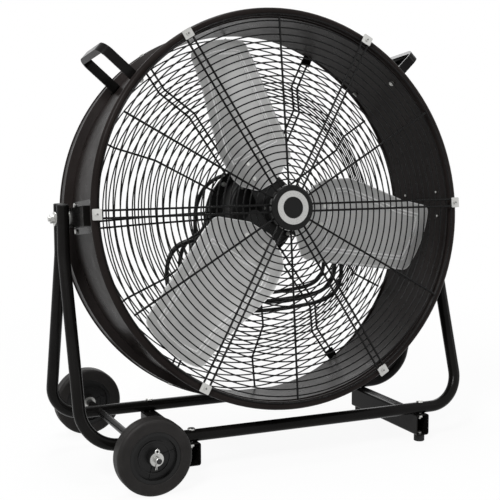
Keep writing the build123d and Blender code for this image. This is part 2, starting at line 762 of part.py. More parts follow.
with BuildPart() as right_handle:
    add(strap.part.rotate(head_axis, handle_angles["right"]))
right_handle.part.label = "right_handle"
export_step(right_handle.part, "parts/right_handle.step")

bolt_seat_r = foot_r + strap_sheet + slip
wall_inner_r = wall_r - sheet
with BuildPart(head) as handle_bolt_pair:
    for z in handle_bolt_zs:
        with Locations((bolt_seat_r, 0, z)):
            Cylinder(handle_bolt_dia * 0.9, 4.0, rotation=(0, 90, 0),
                     align=(Align.CENTER, Align.CENTER, Align.MIN))
            Cylinder(handle_bolt_dia / 2, bolt_seat_r - wall_inner_r + nut_height + 2.0,
                     rotation=(0, 90, 0), align=(Align.CENTER, Align.CENTER, Align.MAX))
handle_nut_list = []
for z in handle_bolt_zs:
    handle_nut = radial_nut(handle_bolt_dia, nut_height, wall_inner_r - seat, z)
    handle_nut_list += turned(handle_nut, handle_angles.values())
handle_bolts = Compound(label="handle_bolts",
                        children=turned(handle_bolt_pair.part, handle_angles.values())
                        + handle_nut_list)
export_step(handle_bolts, "parts/handle_bolts.step")

# ---------------------------------------------------------------- pivot brackets
leg_inner_x = leg_x - tube_r
bracket_face_x = leg_inner_x - friction_washer - 2 * slip
bracket_length = bracket_front_z - bracket_rear_z
bracket_mid_z = (bracket_front_z + bracket_rear_z) / 2
flange_half = bracket_height / 2 + bracket_flange
with BuildPart(head) as bracket:
    with Locations((0, 0, bracket_rear_z)):
        Cylinder(foot_r + bracket_sheet, bracket_length, align=(Align.CENTER, Align.CENTER, Align.MIN))
    with Locations((wall_r, 0, bracket_mid_z)):
        Box(wall_r, 2 * flange_half, bracket_length, mode=Mode.INTERSECT)
    with Locations((bracket_face_x, 0, bracket_mid_z)):
        Box(bracket_face_x - wall_r + 30.0, bracket_height, bracket_length,
            align=(Align.MAX, Align.CENTER, Align.CENTER))
    with Locations((bracket_face_x - bracket_sheet, 0, bracket_mid_z)):
        Box(bracket_face_x - wall_r + 30.0, bracket_height - 2 * bracket_sheet,
            bracket_length - 2 * bracket_sheet,
            align=(Align.MAX, Align.CENTER, Align.CENTER), mode=Mode.SUBTRACT)
    with Locations((0, 0, bracket_mid_z)):
        Cylinder(foot_r, 2 * bracket_length, mode=Mode.SUBTRACT)
    with Locations((bracket_face_x, 0, 0)):
        Cylinder(pivot_bolt_dia / 2 + slip, 4 * bracket_sheet, rotation=(0, 90, 0), mode=Mode.SUBTRACT)
bracket_holes = radial_rods(bracket_rivet_dia + 2 * rivet_hole_play, foot_r - 4 * sheet,
                            foot_r + 2 * bracket_sheet, bracket_rivet_places)

with BuildPart() as left_pivot_bracket:
    add(bracket.part.rotate(head_axis, 180))
    add(bracket_holes.rotate(head_axis, 180), mode=Mode.SUBTRACT)
left_pivot_bracket.part.label = "left_pivot_bracket"
export_step(left_pivot_bracket.part, "parts/left_pivot_bracket.step")

with BuildPart() as right_pivot_bracket:
    add(bracket.part)
    add(bracket_holes, mode=Mode.SUBTRACT)
right_pivot_bracket.part.label = "right_pivot_bracket"
export_step(right_pivot_bracket.part, "parts/right_pivot_bracket.step")

rivet_out_r = foot_r + bracket_sheet + 1.0
with BuildPart(head) as rivet_set:
    for y, z in bracket_rivet_places:
        with Locations((rivet_out_r, y, z)):
            Cylinder(bracket_rivet_dia, rivet_head, rotation=(0, 90, 0),
                     align=(Align.CENTER, Align.CENTER, Align.MIN))
            Cylinder(bracket_rivet_dia / 2, rivet_out_r - wall_inner_r + 3.0, rotation=(0, 90, 0),
                     align=(Align.CENTER, Align.CENTER, Align.MAX))
bracket_rivets = Compound(label="bracket_rivets", children=turned(rivet_set.part, (0, 180)))
export_step(bracket_rivets, "parts/bracket_rivets.step")

# bolts, washers and nuts of the pivots: they stay with the stand
leg_outer_x = leg_x + tube_r
outer_washer_x = leg_outer_x + seat / 2
nut_x = outer_washer_x + washer_sheet + slip
bolt_end_x = nut_x + pivot_nut_height + pivot_thread_end
bolt_head_x = bracket_face_x - bracket_sheet - 2 * slip


def pivot_rod(side, radius, inner, outer):
    """A round piece along X at one pivot."""
    with Locations((side * (inner + outer) / 2, 0, pivot_height)):
        Cylinder(radius, outer - inner, rotation=(0, 90, 0))


with BuildPart() as pivot_bolts:
    for side in (-1, 1):
        pivot_rod(side, pivot_bolt_dia / 2, bolt_head_x, bolt_end_x)
        pivot_rod(side, pivot_bolt_dia * 0.9, bolt_head_x - bolt_head, bolt_head_x)

with BuildPart() as pivot_washers:
    for side in (-1, 1):
        pivot_rod(side, pivot_washer_dia / 2, outer_washer_x, outer_washer_x + washer_sheet)
        pivot_rod(side, pivot_washer_dia / 2, leg_inner_x - friction_washer - slip, leg_inner_x - slip)
    with Locations((0, 0, pivot_height)):
        Cylinder(pivot_bolt_dia / 2 + slip, 3 * leg_x, rotation=(0, 90, 0), mode=Mode.SUBTRACT)
pivot_washers.part.label = "pivot_washers"
export_step(pivot_washers.part, "parts/pivot_washers.step")

with BuildPart() as pivot_nuts:
    for side in (-1, 1):
        with BuildSketch(Plane(origin=(side * nut_x, 0, pivot_height), z_dir=(side, 0, 0))):
            RegularPolygon(pivot_bolt_dia * 0.93, 6)
            Circle(pivot_bolt_dia / 2 + slip, mode=Mode.SUBTRACT)
    extrude(amount=pivot_nut_height)
pivot_fasteners = Compound(label="pivot_bolts", children=[pivot_bolts.part, pivot_nuts.part])
export_step(pivot_fasteners, "parts/pivot_bolts.step")

# ---------------------------------------------------------------- rear guard's centre plate
guard_plate_front_z = rear_well_z - crossing - spoke_r - weld
flange_front_z = guard_plate_front_z - guard_plate_sheet - weld
flange_rear_z = flange_front_z - flange_thickness
mount_bolt_r = motor_r + 12.0
mount_angles = around(60, 6, 15 + rear_turn)
mount_holes = axial_rods(mount_bolt_dia + 2 * hole_play, flange_rear_z - flange_thickness,
                         guard_plate_front_z + guard_plate_sheet, mount_bolt_r)

with BuildPart() as guard_plate:
    with BuildPart(head.offset(guard_plate_front_z - guard_plate_sheet)):
        Cylinder(flange_r - 1.0, guard_plate_sheet, align=(Align.CENTER, Align.CENTER, Align.MIN))
        Cylinder(motor_r + 2.0, 4 * guard_plate_sheet, mode=Mode.SUBTRACT)
    add(turned(mount_holes, mount_angles), mode=Mode.SUBTRACT)
guard_plate.part.label = "guard_plate"
export_step(guard_plate.part, "parts/guard_plate.step")

# ---------------------------------------------------------------- motor, fixed parts
through_angles = around(90, 4, 45)
motor_mid_z = (shell_front_z + shell_rear_z) / 2
bell_front_z = shell_front_z + bell_depth
bell_rear_z = shell_rear_z - bell_depth
shaft_r = shaft_dia / 2
winding_outer = bolt_circle_r - through_bolt_dia / 2 - 0.5
through_holes = axial_rods(through_bolt_dia + 2 * hole_play, bell_rear_z - bell_depth,
                           bell_front_z + bell_depth, bolt_circle_r)

with BuildPart() as motor_shell:
    with BuildSketch(profile):
        with Locations((motor_r - shell_wall / 2, motor_mid_z)):
            Rectangle(shell_wall, shell_front_z - shell_rear_z)
        with Locations(((motor_r + flange_r) / 2 - 1.0, (flange_front_z + flange_rear_z) / 2)):
            Rectangle(flange_r - motor_r + 2.0, flange_thickness)
    revolve(axis=head_axis)
    add(turned(mount_holes, mount_angles), mode=Mode.SUBTRACT)
motor_shell.part.label = "motor_shell"
export_step(motor_shell.part, "parts/motor_shell.step")

with BuildPart() as front_bell:
    seat_z = shell_front_z + slip
    spigot_r = motor_r - shell_wall - slip
    bearing_r = bearing_dia / 2 + slip
    shaft_hole_r = shaft_r + hole_play
    cavity_z = bell_front_z - bell_sheet
    with BuildSketch(profile):
        with BuildLine():
            Polyline((shaft_hole_r, bell_front_z), (motor_r - bell_edge, bell_front_z))
            RadiusArc((motor_r - bell_edge, bell_front_z), (motor_r, bell_front_z - bell_edge), bell_edge)
            Polyline((motor_r, bell_front_z - bell_edge), (motor_r, seat_z), (spigot_r, seat_z),
                     (spigot_r, seat_z - spigot_depth), (spigot_r - bell_sheet, seat_z - spigot_depth),
                     (spigot_r - bell_sheet, cavity_z), (bearing_r + bearing_wall, cavity_z),
                     (bearing_r + bearing_wall, cavity_z - bearing_width),
                     (bearing_r, cavity_z - bearing_width), (bearing_r, cavity_z),
                     (shaft_hole_r, cavity_z), (shaft_hole_r, bell_front_z))
        make_face()
    revolve(axis=head_axis)
    add(turned(through_holes, through_angles), mode=Mode.SUBTRACT)
rear_bell = mirror(front_bell.part, about=head.offset(motor_mid_z))
motor_bells = Compound(label="motor_bells", children=[front_bell.part, rear_bell])
export_step(motor_bells, "parts/motor_bells.step")

with BuildPart() as front_bearing:
    with BuildPart(head.offset(cavity_z - bearing_width)):
        Cylinder(bearing_dia / 2, bearing_width - slip, align=(Align.CENTER, Align.CENTER, Align.MIN))
        Cylinder(shaft_r + slip, 3 * bearing_width, mode=Mode.SUBTRACT)
rear_bearing = mirror(front_bearing.part, about=head.offset(motor_mid_z))
motor_bearings = Compound(label="motor_bearings", children=[front_bearing.part, rear_bearing])
export_step(motor_bearings, "parts/motor_bearings.step")

with BuildPart() as stator_core:
    with BuildPart(head.offset(motor_mid_z)):
        Cylinder(motor_r - shell_wall - seat, 2 * core_half)
        Cylinder(core_bore_r, 3 * core_half, mode=Mode.SUBTRACT)
    add(turned(through_holes, through_angles), mode=Mode.SUBTRACT)
stator_core.part.label = "stator_core"
export_step(stator_core.part, "parts/stator_core.step")

with BuildPart() as winding_ring:
    with BuildSketch(profile):
        with Locations(((winding_inner + winding_outer) / 2,
                        motor_mid_z + core_half + seat + winding_reach / 2)):
            RectangleRounded(winding_outer - winding_inner, winding_reach, 4.0)
    revolve(axis=head_axis)
other_winding = mirror(winding_ring.part, about=head.offset(motor_mid_z))
stator_windings = Compound(label="stator_windings", children=[winding_ring.part, other_winding])
export_step(stator_windings, "parts/stator_windings.step")


def axial_bolt(dia, radius, rear, front, head_height, nut_rear, nut_tall):
    """Bolt and nut along the drum's axis at angle 0: head at the rear, nut in front."""
    with BuildPart(head) as bolt:
        with Locations((radius, 0, rear)):
            Cylinder(dia / 2, front - rear, align=(Align.CENTER, Align.CENTER, Align.MIN))
            Cylinder(dia * 0.9, head_height, align=(Align.CENTER, Align.CENTER, Align.MAX))
    with BuildPart() as nut:
        with BuildSketch(head.offset(nut_rear)):
            with Locations((radius, 0)):
                RegularPolygon(dia * 0.93, 6)
                Circle(dia / 2 + slip, mode=Mode.SUBTRACT)
        extrude(amount=nut_tall)
    return [bolt.part, nut.part]


through_pieces = []
for piece in axial_bolt(through_bolt_dia, bolt_circle_r, bell_rear_z - slip,
                        bell_front_z + slip + through_nut + 1.5, 3.0, bell_front_z + slip, through_nut):
    through_pieces += turned(piece, through_angles)
motor_through_bolts = Compound(label="motor_through_bolts", children=through_pieces)
export_step(motor_through_bolts, "parts/motor_through_bolts.step")

mount_pieces = []
for piece in axial_bolt(mount_bolt_dia, mount_bolt_r, flange_rear_z - slip,
                        guard_plate_front_z + nut_height + 1.5, 2.2, guard_plate_front_z + slip,
                        nut_height):
    mount_pieces += turned(piece, mount_angles)
motor_mount_bolts = Compound(label="motor_mount_bolts", children=mount_pieces)
export_step(motor_mount_bolts, "parts/motor_mount_bolts.step")

# ---------------------------------------------------------------- rotor and impeller
shaft_rear_z = bell_rear_z + bell_sheet + 4.0
hub_front_z = impeller_z + hub_axial / 2
set_screw_z = hub_front_z - 9.0
with BuildPart(head) as rotor:
    with Locations((0, 0, shaft_rear_z)):
        Cylinder(shaft_r, hub_front_z - 2.0 - shaft_rear_z, align=(Align.CENTER, Align.CENTER, Align.MIN))
    with Locations((0, 0, motor_mid_z)):
        Cylinder(rotor_r, 2 * core_half)
rotor.part.label = "rotor"
export_step(rotor.part, "parts/rotor.step")

pitch_angle = radians(blade_pitch)
blade_plane = Plane(origin=pivot + impeller_z * forward, x_dir=(1, 0, 0),
                    z_dir=cos(pitch_angle) * forward - sin(pitch_angle) * upward)
section_plane = Plane(origin=pivot + impeller_z * forward, x_dir=blade_plane.y_dir, z_dir=(1, 0, 0))
blade_angles = around(120, 3, impeller_phase)
# the planform in (radius, distance along the pitched chord)
blade_outline = [(52, -32), (84, -102), (350, -107.5), (372, 44.7), (300, 53.2), (200, 79.8),
                 (157, 89.4), (100, 80.9), (78, 63.9), (52, 21.3)]
blade_tip = (blade_sweep_dia / 2, -28.0)
rivet_places = [(u, v) for u in (80.0, 115.0) for v in (-21.3, 21.3)]


def camber_band(inner, outer, reach):
    """Sheet between two radii of the blade's cambered section, drawn out along the blade."""
    bow = degrees(reach / blade_camber_radius)
    with BuildPart() as band:
        with BuildSketch(section_plane):
            with BuildLine():
                CenterArc((0, blade_camber_radius), outer, -90 - bow, 2 * bow)
                CenterArc((0, blade_camber_radius), inner, -90 - bow, 2 * bow)
                Line(edge_end(outer, -bow), edge_end(inner, -bow))
                Line(edge_end(outer, bow), edge_end(inner, bow))
            make_face()
        extrude(amount=blade_sweep_dia / 2 + blade_corner)
    return band.part


def edge_end(radius, bow):
    """Point of the cambered section at an angle from its lowest point."""
    return (radius * sin(radians(bow)), blade_camber_radius - radius * cos(radians(bow)))


def camber(v):
    """Rise of the cambered section."""
    return blade_camber_radius - sqrt(blade_camber_radius ** 2 - v ** 2)


with BuildSketch() as planform:
    with BuildLine():
        Polyline(*blade_outline[:3])
        ThreePointArc(blade_outline[2], blade_tip, blade_outline[3])
        Polyline(*blade_outline[3:], blade_outline[0])
    make_face()
    fillet(planform.vertices(), blade_corner)

with BuildSketch() as emboss:
    add(planform.sketch)
    offset(amount=-emboss_inset, mode=Mode.REPLACE)
    with Locations((emboss_start, 0)):
        Rectangle(blade_sweep_dia, blade_sweep_dia, align=(Align.MIN, Align.CENTER), mode=Mode.INTERSECT)
    with BuildSketch(mode=Mode.PRIVATE) as emboss_inner:
        add(emboss.sketch)
        offset(amount=-emboss_width, mode=Mode.REPLACE)
    add(emboss_inner.sketch, mode=Mode.SUBTRACT)

sheet_half = blade_sheet / 2
with BuildPart() as blade:
    with BuildPart():
        with BuildSketch(blade_plane):
            add(planform.sketch)
        extrude(amount=planform_half, both=True)
        add(camber_band(blade_camber_radius - sheet_half, blade_camber_radius + sheet_half, camber_half),
            mode=Mode.INTERSECT)
    with BuildPart(mode=Mode.PRIVATE) as raised:
        with BuildSketch(blade_plane):
            add(emboss.sketch)
        extrude(amount=planform_half, both=True)
        add(camber_band(blade_camber_radius - sheet_half - emboss_rise, blade_camber_radius,
                        camber_half),
            mode=Mode.INTERSECT)
    add(raised.part)
    with BuildPart(mode=Mode.PRIVATE) as lip:
        ends = [blade_plane.from_local_coords(Vector(u, v, camber(v)))
                for u, v in ((112.0, -102.6), (322.0, -106.9))]
        with BuildLine():
            Line(*ends)
        with BuildSketch(Plane(origin=ends[0], z_dir=ends[1] - ends[0])):
            Circle(lip_dia / 2)
        sweep()
    add(lip.part)
    with BuildPart(blade_plane, mode=Mode.SUBTRACT):
        with Locations(*[(u, v, 0) for u, v in rivet_places]):
            Cylinder(rivet_dia / 2 + slip, 30.0)

for number, angle in enumerate(blade_angles, 1):
    one_blade = blade.part.rotate(head_axis, angle)
    one_blade.label = "blade_%d" % number
    export_step(one_blade, "parts/blade_%d.step" % number)

arm_front = -sheet_half - seat
with BuildPart() as arm:
    with BuildSketch(blade_plane.offset(arm_front - spider_sheet)):
        with Locations(((arm_inner + arm_outer) / 2, sum(arm_halves) / 2)):
            RectangleRounded(arm_outer - arm_inner, arm_halves[1] - arm_halves[0], 14.0)
    extrude(amount=spider_sheet)
    with BuildPart(blade_plane, mode=Mode.SUBTRACT):
        with Locations(*[(u, v, 0) for u, v in rivet_places]):
            Cylinder(rivet_dia / 2 + slip, 30.0)

set_screw_angle = impeller_phase + 60
set_hole = radial_rods(set_screw_dia + 2 * slip, 0, hub_dia, [(0, set_screw_z)])
with BuildPart() as impeller_hub:
    with BuildPart(head.offset(impeller_z)):
        Cylinder(hub_dia / 2, hub_axial)
    add(turned(arm.part, blade_angles))
    with BuildPart(head.offset(impeller_z), mode=Mode.SUBTRACT):
        Cylinder(shaft_r + slip, 2 * hub_axial)
    add(set_hole.rotate(head_axis, set_screw_angle), mode=Mode.SUBTRACT)
impeller_hub.part.label = "impeller_hub"
export_step(impeller_hub.part, "parts/impeller_hub.step")

rivet_tail = arm_front - spider_sheet - slip
rivet_front = camber(rivet_places[1][1]) + sheet_half + 0.4
with BuildPart(blade_plane) as blade_rivet_set:
    for u, v in rivet_places:
        with Locations((u, v, rivet_front)):
            Cylinder(rivet_dia / 2, rivet_front - rivet_tail, align=(Align.CENTER, Align.CENTER, Align.MAX))
            Cylinder(rivet_dia * 0.85, rivet_head, align=(Align.CENTER, Align.CENTER, Align.MIN))
        with Locations((u, v, rivet_tail)):
            Cylinder(rivet_dia * 0.85, rivet_head, align=(Align.CENTER, Align.CENTER, Align.MAX))
with BuildPart(head) as set_screw:
    with Locations((shaft_r + slip, 0, set_screw_z)):
        Cylinder(set_screw_dia / 2, hub_dia / 2 - shaft_r + 1.0, rotation=(0, 90, 0),
                 align=(Align.CENTER, Align.CENTER, Align.MIN))
impeller_fasteners = Compound(label="impeller_fasteners",
                              children=turned(blade_rivet_set.part, blade_angles)
                              + turned(set_screw.part, [set_screw_angle]))
export_step(impeller_fasteners, "parts/impeller_fasteners.step")

# ---------------------------------------------------------------- switch box behind the motor
box_front_z = bell_rear_z - seat
box_rear_z = box_front_z - box_depth
lid_rear_z = box_rear_z - slip - lid_sheet
lid_screw_spots = [(x * (box_width / 2 - 6.0), y * (box_height / 2 - 6.0), 0)
                   for x in (-1, 1) for y in (-1, 1)]
relief_z = box_rear_z + box_depth / 2
cord_r = cord_dia / 2

with BuildPart(head) as switch_box:
    with Locations((0, 0, box_rear_z)):
        Box(box_width, box_height, box_depth, align=(Align.CENTER, Align.CENTER, Align.MIN))
    fillet(switch_box.edges().filter_by(head_axis), 6.0)
    with Locations((0, 0, box_rear_z)):
        Box(box_width - 2 * box_wall, box_height - 2 * box_wall, 2 * (box_depth - box_wall),
            mode=Mode.SUBTRACT)
    with Locations((0, -box_height / 2, relief_z)):
        Cylinder(cord_r + 2.0, 4 * box_wall, rotation=(90, 0, 0), mode=Mode.SUBTRACT)
    with Locations((0, 0, box_rear_z)):
        with Locations(*lid_screw_spots):
            Cylinder(4.0, 12.0, align=(Align.CENTER, Align.CENTER, Align.MIN))
            Cylinder(lid_screw_dia / 2 + slip, 18.0, mode=Mode.SUBTRACT)
switch_box.part.label = "switch_box"
export_step(switch_box.part, "parts/switch_box.step")

with BuildPart(head.offset(lid_rear_z)) as box_lid:
    Box(box_width, box_height, lid_sheet, align=(Align.CENTER, Align.CENTER, Align.MIN))
    fillet(box_lid.edges().filter_by(head_axis), 6.0)
    with Locations((0, knob_y, 0)):
        Cylinder(stem_dia / 2 + 2.0, 4 * lid_sheet, mode=Mode.SUBTRACT)
    with Locations(*lid_screw_spots):
        Cylinder(lid_screw_dia / 2 + slip, 4 * lid_sheet, mode=Mode.SUBTRACT)
box_lid.part.label = "box_lid"
export_step(box_lid.part, "parts/box_lid.step")

with BuildPart(head.offset(lid_rear_z - slip)) as lid_screws:
    with Locations(*lid_screw_spots):
        Cylinder(lid_screw_dia / 2, lid_sheet + 8.0, align=(Align.CENTER, Align.CENTER, Align.MIN))
        Cylinder(lid_screw_dia, 1.8, align=(Align.CENTER, Align.CENTER, Align.MAX))
lid_screws.part.label = "lid_screws"
export_step(lid_screws.part, "parts/lid_screws.step")

with BuildPart(head) as rotary_switch:
    with Locations((0, knob_y, box_rear_z + seat)):
        Box(switch_size, switch_size, switch_deep, align=(Align.CENTER, Align.CENTER, Align.MIN))
        Cylinder(stem_dia / 2, seat + lid_sheet + stem_reach,
                 align=(Align.CENTER, Align.CENTER, Align.MAX))
rotary_switch.part.label = "rotary_switch"
export_step(rotary_switch.part, "parts/rotary_switch.step")

knob_front_z = lid_rear_z - 1.0
with BuildPart(head) as speed_knob:
    with Locations((0, knob_y, knob_front_z)):
        Cylinder(knob_dia / 2, 5.0, align=(Align.CENTER, Align.CENTER, Align.MAX))
        Cylinder(knob_dia * 0.36, knob_depth, align=(Align.CENTER, Align.CENTER, Align.MAX))
        Box(knob_dia * 0.28, knob_dia * 0.94, knob_depth, align=(Align.CENTER, Align.CENTER, Align.MAX))
    fillet(speed_knob.faces().sort_by(head_axis)[0].edges(), 1.5)
    with Locations((0, knob_y, knob_front_z)):
        Cylinder(stem_dia / 2 + slip, 2 * stem_reach, mode=Mode.SUBTRACT)
speed_knob.part.label = "speed_knob"
export_step(speed_knob.part, "parts/speed_knob.step")

with BuildPart(head) as capacitor:
    with Locations((0, -box_height / 2 + box_wall + capacitor_dia / 2 + 2.0,
                    box_front_z - box_wall - capacitor_dia / 2 - 2.0)):
        Cylinder(capacitor_dia / 2, capacitor_length, rotation=(0, 90, 0))
        fillet(capacitor.edges().filter_by(GeomType.CIRCLE), 2.0)
capacitor.part.label = "capacitor"
export_step(capacitor.part, "parts/capacitor.step")


# ---------------------------------------------------------------- cord
def place(x, y, z):
    """A point given in the head's frame."""
    return head.from_local_coords(Vector(x, y, z))


def direction(x, y, z):
    """A unit direction given in the head's frame."""
    return (x * head.x_dir + y * upward + z * forward).normalized()


def cord_tube(name, points):
    """Round tube along straight runs joined by the largest arcs that they allow."""
    stops = [place(*point) for point in points]
    runs = [stops[i + 1] - stops[i] for i in range(len(stops) - 1)]
    radii = []
    for before, after in zip(runs, runs[1:]):
        half_turn = radians(before.get_angle(after)) / 2
        radii.append(0.45 * min(before.length, after.length) / tan(half_turn))
    with BuildPart() as tube:
        with BuildLine() as route:
            FilletPolyline(*stops, radius=radii)
        with BuildSketch(Plane(origin=stops[0], z_dir=runs[0])):
            Circle(cord_r)
        sweep()
    ratio = tube.part.volume / (pi * cord_r ** 2 * route.wire().length)
    print(name, "radii", [round(r) for r in radii], "runs", [round(run.length) for run in runs],
          "length", round(route.wire().length), "volume ratio", round(ratio, 4))
    return tube.part


with BuildPart(Plane(origin=place(0, -box_height / 2 - slip, relief_z), x_dir=head.x_dir,
                     z_dir=-upward)) as strain_relief:
    Cone(relief_dia / 2, cord_r + 1.0, relief_length, align=(Align.CENTER, Align.CENTER, Align.MIN))
    Cylinder(cord_r + 1.8, 1.5 * box_wall, align=(Align.CENTER, Align.CENTER, Align.MAX))
strain_relief.part.label = "strain_relief"
export_step(strain_relief.part, "parts/strain_relief.step")

# the coil hangs over the motor; each turn passes these places of the head's frame
saddle_r = motor_r + cord_r + 0.5
shoulder_x = motor_r + cord_r + 8.0
turn_places = [                     # part of the turn, x, y, direction
    (0.0, 26, -214, (1, 0)),
    (0.2, 222, -128, (0, 1)),
    (0.38, shoulder_x, 4, (-0.1, 1)),
    (0.5, 0, saddle_r, (-1, 0)),
    (0.62, -shoulder_x, 4, (-0.1, -1)),
    (0.8, -196, -120, (0, -1)),
]


turn_looseness = (1.0, 0.86, 1.04, 0.94)


def coil_stop(index):
    """Place and direction of the coil after a number of steps of its turns."""
    part, x, y, (dx, dy) = turn_places[index % len(turn_places)]
    turn = index // len(turn_places)
    if y < 0:
        x = x * turn_looseness[turn]
        y = y * turn_looseness[turn]
    depth = coil_rear_z + coil_pitch * (turn + part)
    return place(x, y, depth), direction(dx, dy, coil_pitch / turn_length)


def biarc(start, start_way, end, end_way):
    """Two tangent arcs from one place and direction to another."""
    chord = end - start
    lean = chord.dot(start_way + end_way)
    spread = 2 * (1 - start_way.dot(end_way))
    if spread < 1e-6:
        reach = chord.dot(chord) / (2 * lean)
    else:
        reach = (sqrt(lean ** 2 + spread * chord.dot(chord)) - lean) / spread
    first = start + reach * start_way
    last = end - reach * end_way
    middle = (first + last) / 2
    middle_way = (last - first).normalized()
    TangentArc(start, middle, tangent=start_way)
    TangentArc(middle, end, tangent=middle_way)


coil_steps = round(coil_turns * len(turn_places))
bottom = coil_stop(0)[0]
coil_start = bottom + (coil_start_x - turn_places[0][1]) * head.x_dir + 8.0 * upward
coil_way = direction(1, 0, coil_pitch / turn_length)
coil_stops = [(coil_start + cord_dia * coil_way, coil_way)] + [coil_stop(i) for i in range(1, coil_steps + 1)]
coil_end = coil_stops[-1][0] + cord_dia * coil_stops[-1][1]
with BuildPart() as cord_coil:
    with BuildLine() as coil_route:
        Line(coil_start, coil_stops[0][0])
        for (start, start_way), (end, end_way) in zip(coil_stops, coil_stops[1:]):
            biarc(start, start_way, end, end_way)
        Line(coil_stops[-1][0], coil_end)
    with BuildSketch(Plane(origin=coil_start, z_dir=coil_way)):
        Circle(cord_r)
    sweep()
cord_coil.part.label = "cord_coil"
export_step(cord_coil.part, "parts/cord_coil.step")

coil_wire = coil_route.wire()
samples = 170 * round(coil_turns)
spots = [tuple(coil_wire.position_at(i / samples)) for i in range(samples + 1)]
apart = round(samples * 60 / coil_wire.length)
least = min(hypot(*[a - b for a, b in zip(spots[i], spots[j])])
            for i in range(len(spots)) for j in range(i + apart, len(spots)))
bends = [edge.radius for edge in coil_wire.edges() if edge.geom_type == GeomType.CIRCLE]
print("coil gap", round(least - cord_dia, 2), "length", round(coil_wire.length),
      "least bend", round(min(bends)), "volume ratio",
      round(cord_coil.part.volume / (pi * cord_r ** 2 * coil_wire.length), 4))

# the free stretches, as points of the head's frame
start_local = head.to_local_coords(coil_start)
end_local = head.to_local_coords(coil_end)
print("coil start", [round(v, 1) for v in start_local], "end", [round(v, 1) for v in end_local])
relief_end_y = -box_height / 2 - relief_length - seat
power_cord = cord_tube("power_cord", [
    (0, relief_end_y, relief_z),
    (0, relief_end_y - 27, relief_z),
    (-2, relief_end_y - 53, relief_z + 5),
    (-10, start_local.Y + 50, start_local.Z - 16),
    (1.3, start_local.Y + 19, start_local.Z - 5),
    (start_local.X - 33, start_local.Y, start_local.Z - 0.3),
    (start_local.X - seat, start_local.Y, start_local.Z),
])
power_cord.label = "power_cord"
export_step(power_cord, "parts/power_cord.step")

cord_tail = cord_tube("cord_tail", [
    (end_local.X - seat, end_local.Y, end_local.Z),
    (end_local.X - 30, end_local.Y, end_local.Z + 0.3),
    (end_local.X - 62, end_local.Y - 4, end_local.Z - 11),
    (end_local.X - 90, end_local.Y - 26, end_local.Z - 28),
    (end_local.X - 104, end_local.Y - 62, end_local.Z - 42),
    (end_local.X - tail_reach, end_local.Y - 98, end_local.Z - tail_depth),
    (end_local.X - tail_reach, end_local.Y - tail_drop, end_local.Z - tail_depth),
])
cord_tail.label = "cord_tail"
export_step(cord_tail, "parts/cord_tail.step")

plug_top = (end_local.X - tail_reach, end_local.Y - tail_drop - seat, end_local.Z - tail_depth)
plug_plane = Plane(origin=place(*plug_top), x_dir=head.x_dir, z_dir=-upward)
with BuildPart(plug_plane) as plug:
    with Locations((0, 0, plug_neck)):
        Box(plug_wide, plug_thick, plug_body, align=(Align.CENTER, Align.CENTER, Align.MIN))
    fillet(plug.edges(), 4.0)
    Cone(cord_r + 1.5, 9.0, plug_neck + 4.0, align=(Align.CENTER, Align.CENTER, Align.MIN))
plug.part.label = "plug"
export_step(plug.part, "parts/plug.step")

with BuildPart(plug_plane.offset(plug_neck + plug_body + slip)) as plug_prongs:
    with Locations((-6.35, 3.0, 0), (6.35, 3.0, 0)):
        Box(1.5, 6.3, 17.0, align=(Align.CENTER, Align.CENTER, Align.MIN))
    with Locations((0, -6.5, 0)):
        Cylinder(2.4, 20.0, align=(Align.CENTER, Align.CENTER, Align.MIN))
plug_prongs.part.label = "plug_prongs"
export_step(plug_prongs.part, "parts/plug_prongs.step")
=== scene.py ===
import json
from math import atan2, cos, hypot, pi, radians, sin, sqrt, tan

import bmesh
import bpy
from mathutils import Matrix, Vector


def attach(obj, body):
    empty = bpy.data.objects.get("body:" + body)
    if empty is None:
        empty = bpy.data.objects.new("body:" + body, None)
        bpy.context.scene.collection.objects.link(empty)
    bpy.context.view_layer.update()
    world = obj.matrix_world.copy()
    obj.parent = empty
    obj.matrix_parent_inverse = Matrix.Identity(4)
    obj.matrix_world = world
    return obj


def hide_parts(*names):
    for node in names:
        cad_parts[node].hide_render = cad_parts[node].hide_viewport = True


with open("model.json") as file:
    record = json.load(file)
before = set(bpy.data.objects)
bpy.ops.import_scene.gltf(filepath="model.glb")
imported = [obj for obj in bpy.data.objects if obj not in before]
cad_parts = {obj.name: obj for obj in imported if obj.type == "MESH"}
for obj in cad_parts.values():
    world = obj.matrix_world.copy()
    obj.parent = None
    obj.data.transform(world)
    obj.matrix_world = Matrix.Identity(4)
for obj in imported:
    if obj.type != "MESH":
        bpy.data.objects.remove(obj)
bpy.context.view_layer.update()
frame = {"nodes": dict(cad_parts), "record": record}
NODES = frame["nodes"]

MM = 0.001
REST_TILT = radians(6.7)
PIVOT = Vector((0, 0, 0.522))
RIGHT = Vector((1, 0, 0))
FORWARD = Vector((0, -cos(REST_TILT), sin(REST_TILT)))
UPWARD = Vector((0, sin(REST_TILT), cos(REST_TILT)))


def head_point(x, y, z):
    """A point of the drum's own frame, given in millimetres."""
    return PIVOT + MM * (x * RIGHT + y * UPWARD + z * FORWARD)


def head_way(x, y, z):
    """A unit direction of the drum's own frame."""
    return (x * RIGHT + y * UPWARD + z * FORWARD).normalized()


# ---------------------------------------------------------------- camera
CAMERA_PLACE = Vector((-0.9827, -2.1702, 0.7027))
CAMERA_YAW = radians(23.87)
CAMERA_DROP = radians(6.37)
CAMERA_ROLL = radians(-0.09)
CAMERA_LENS = 77.9


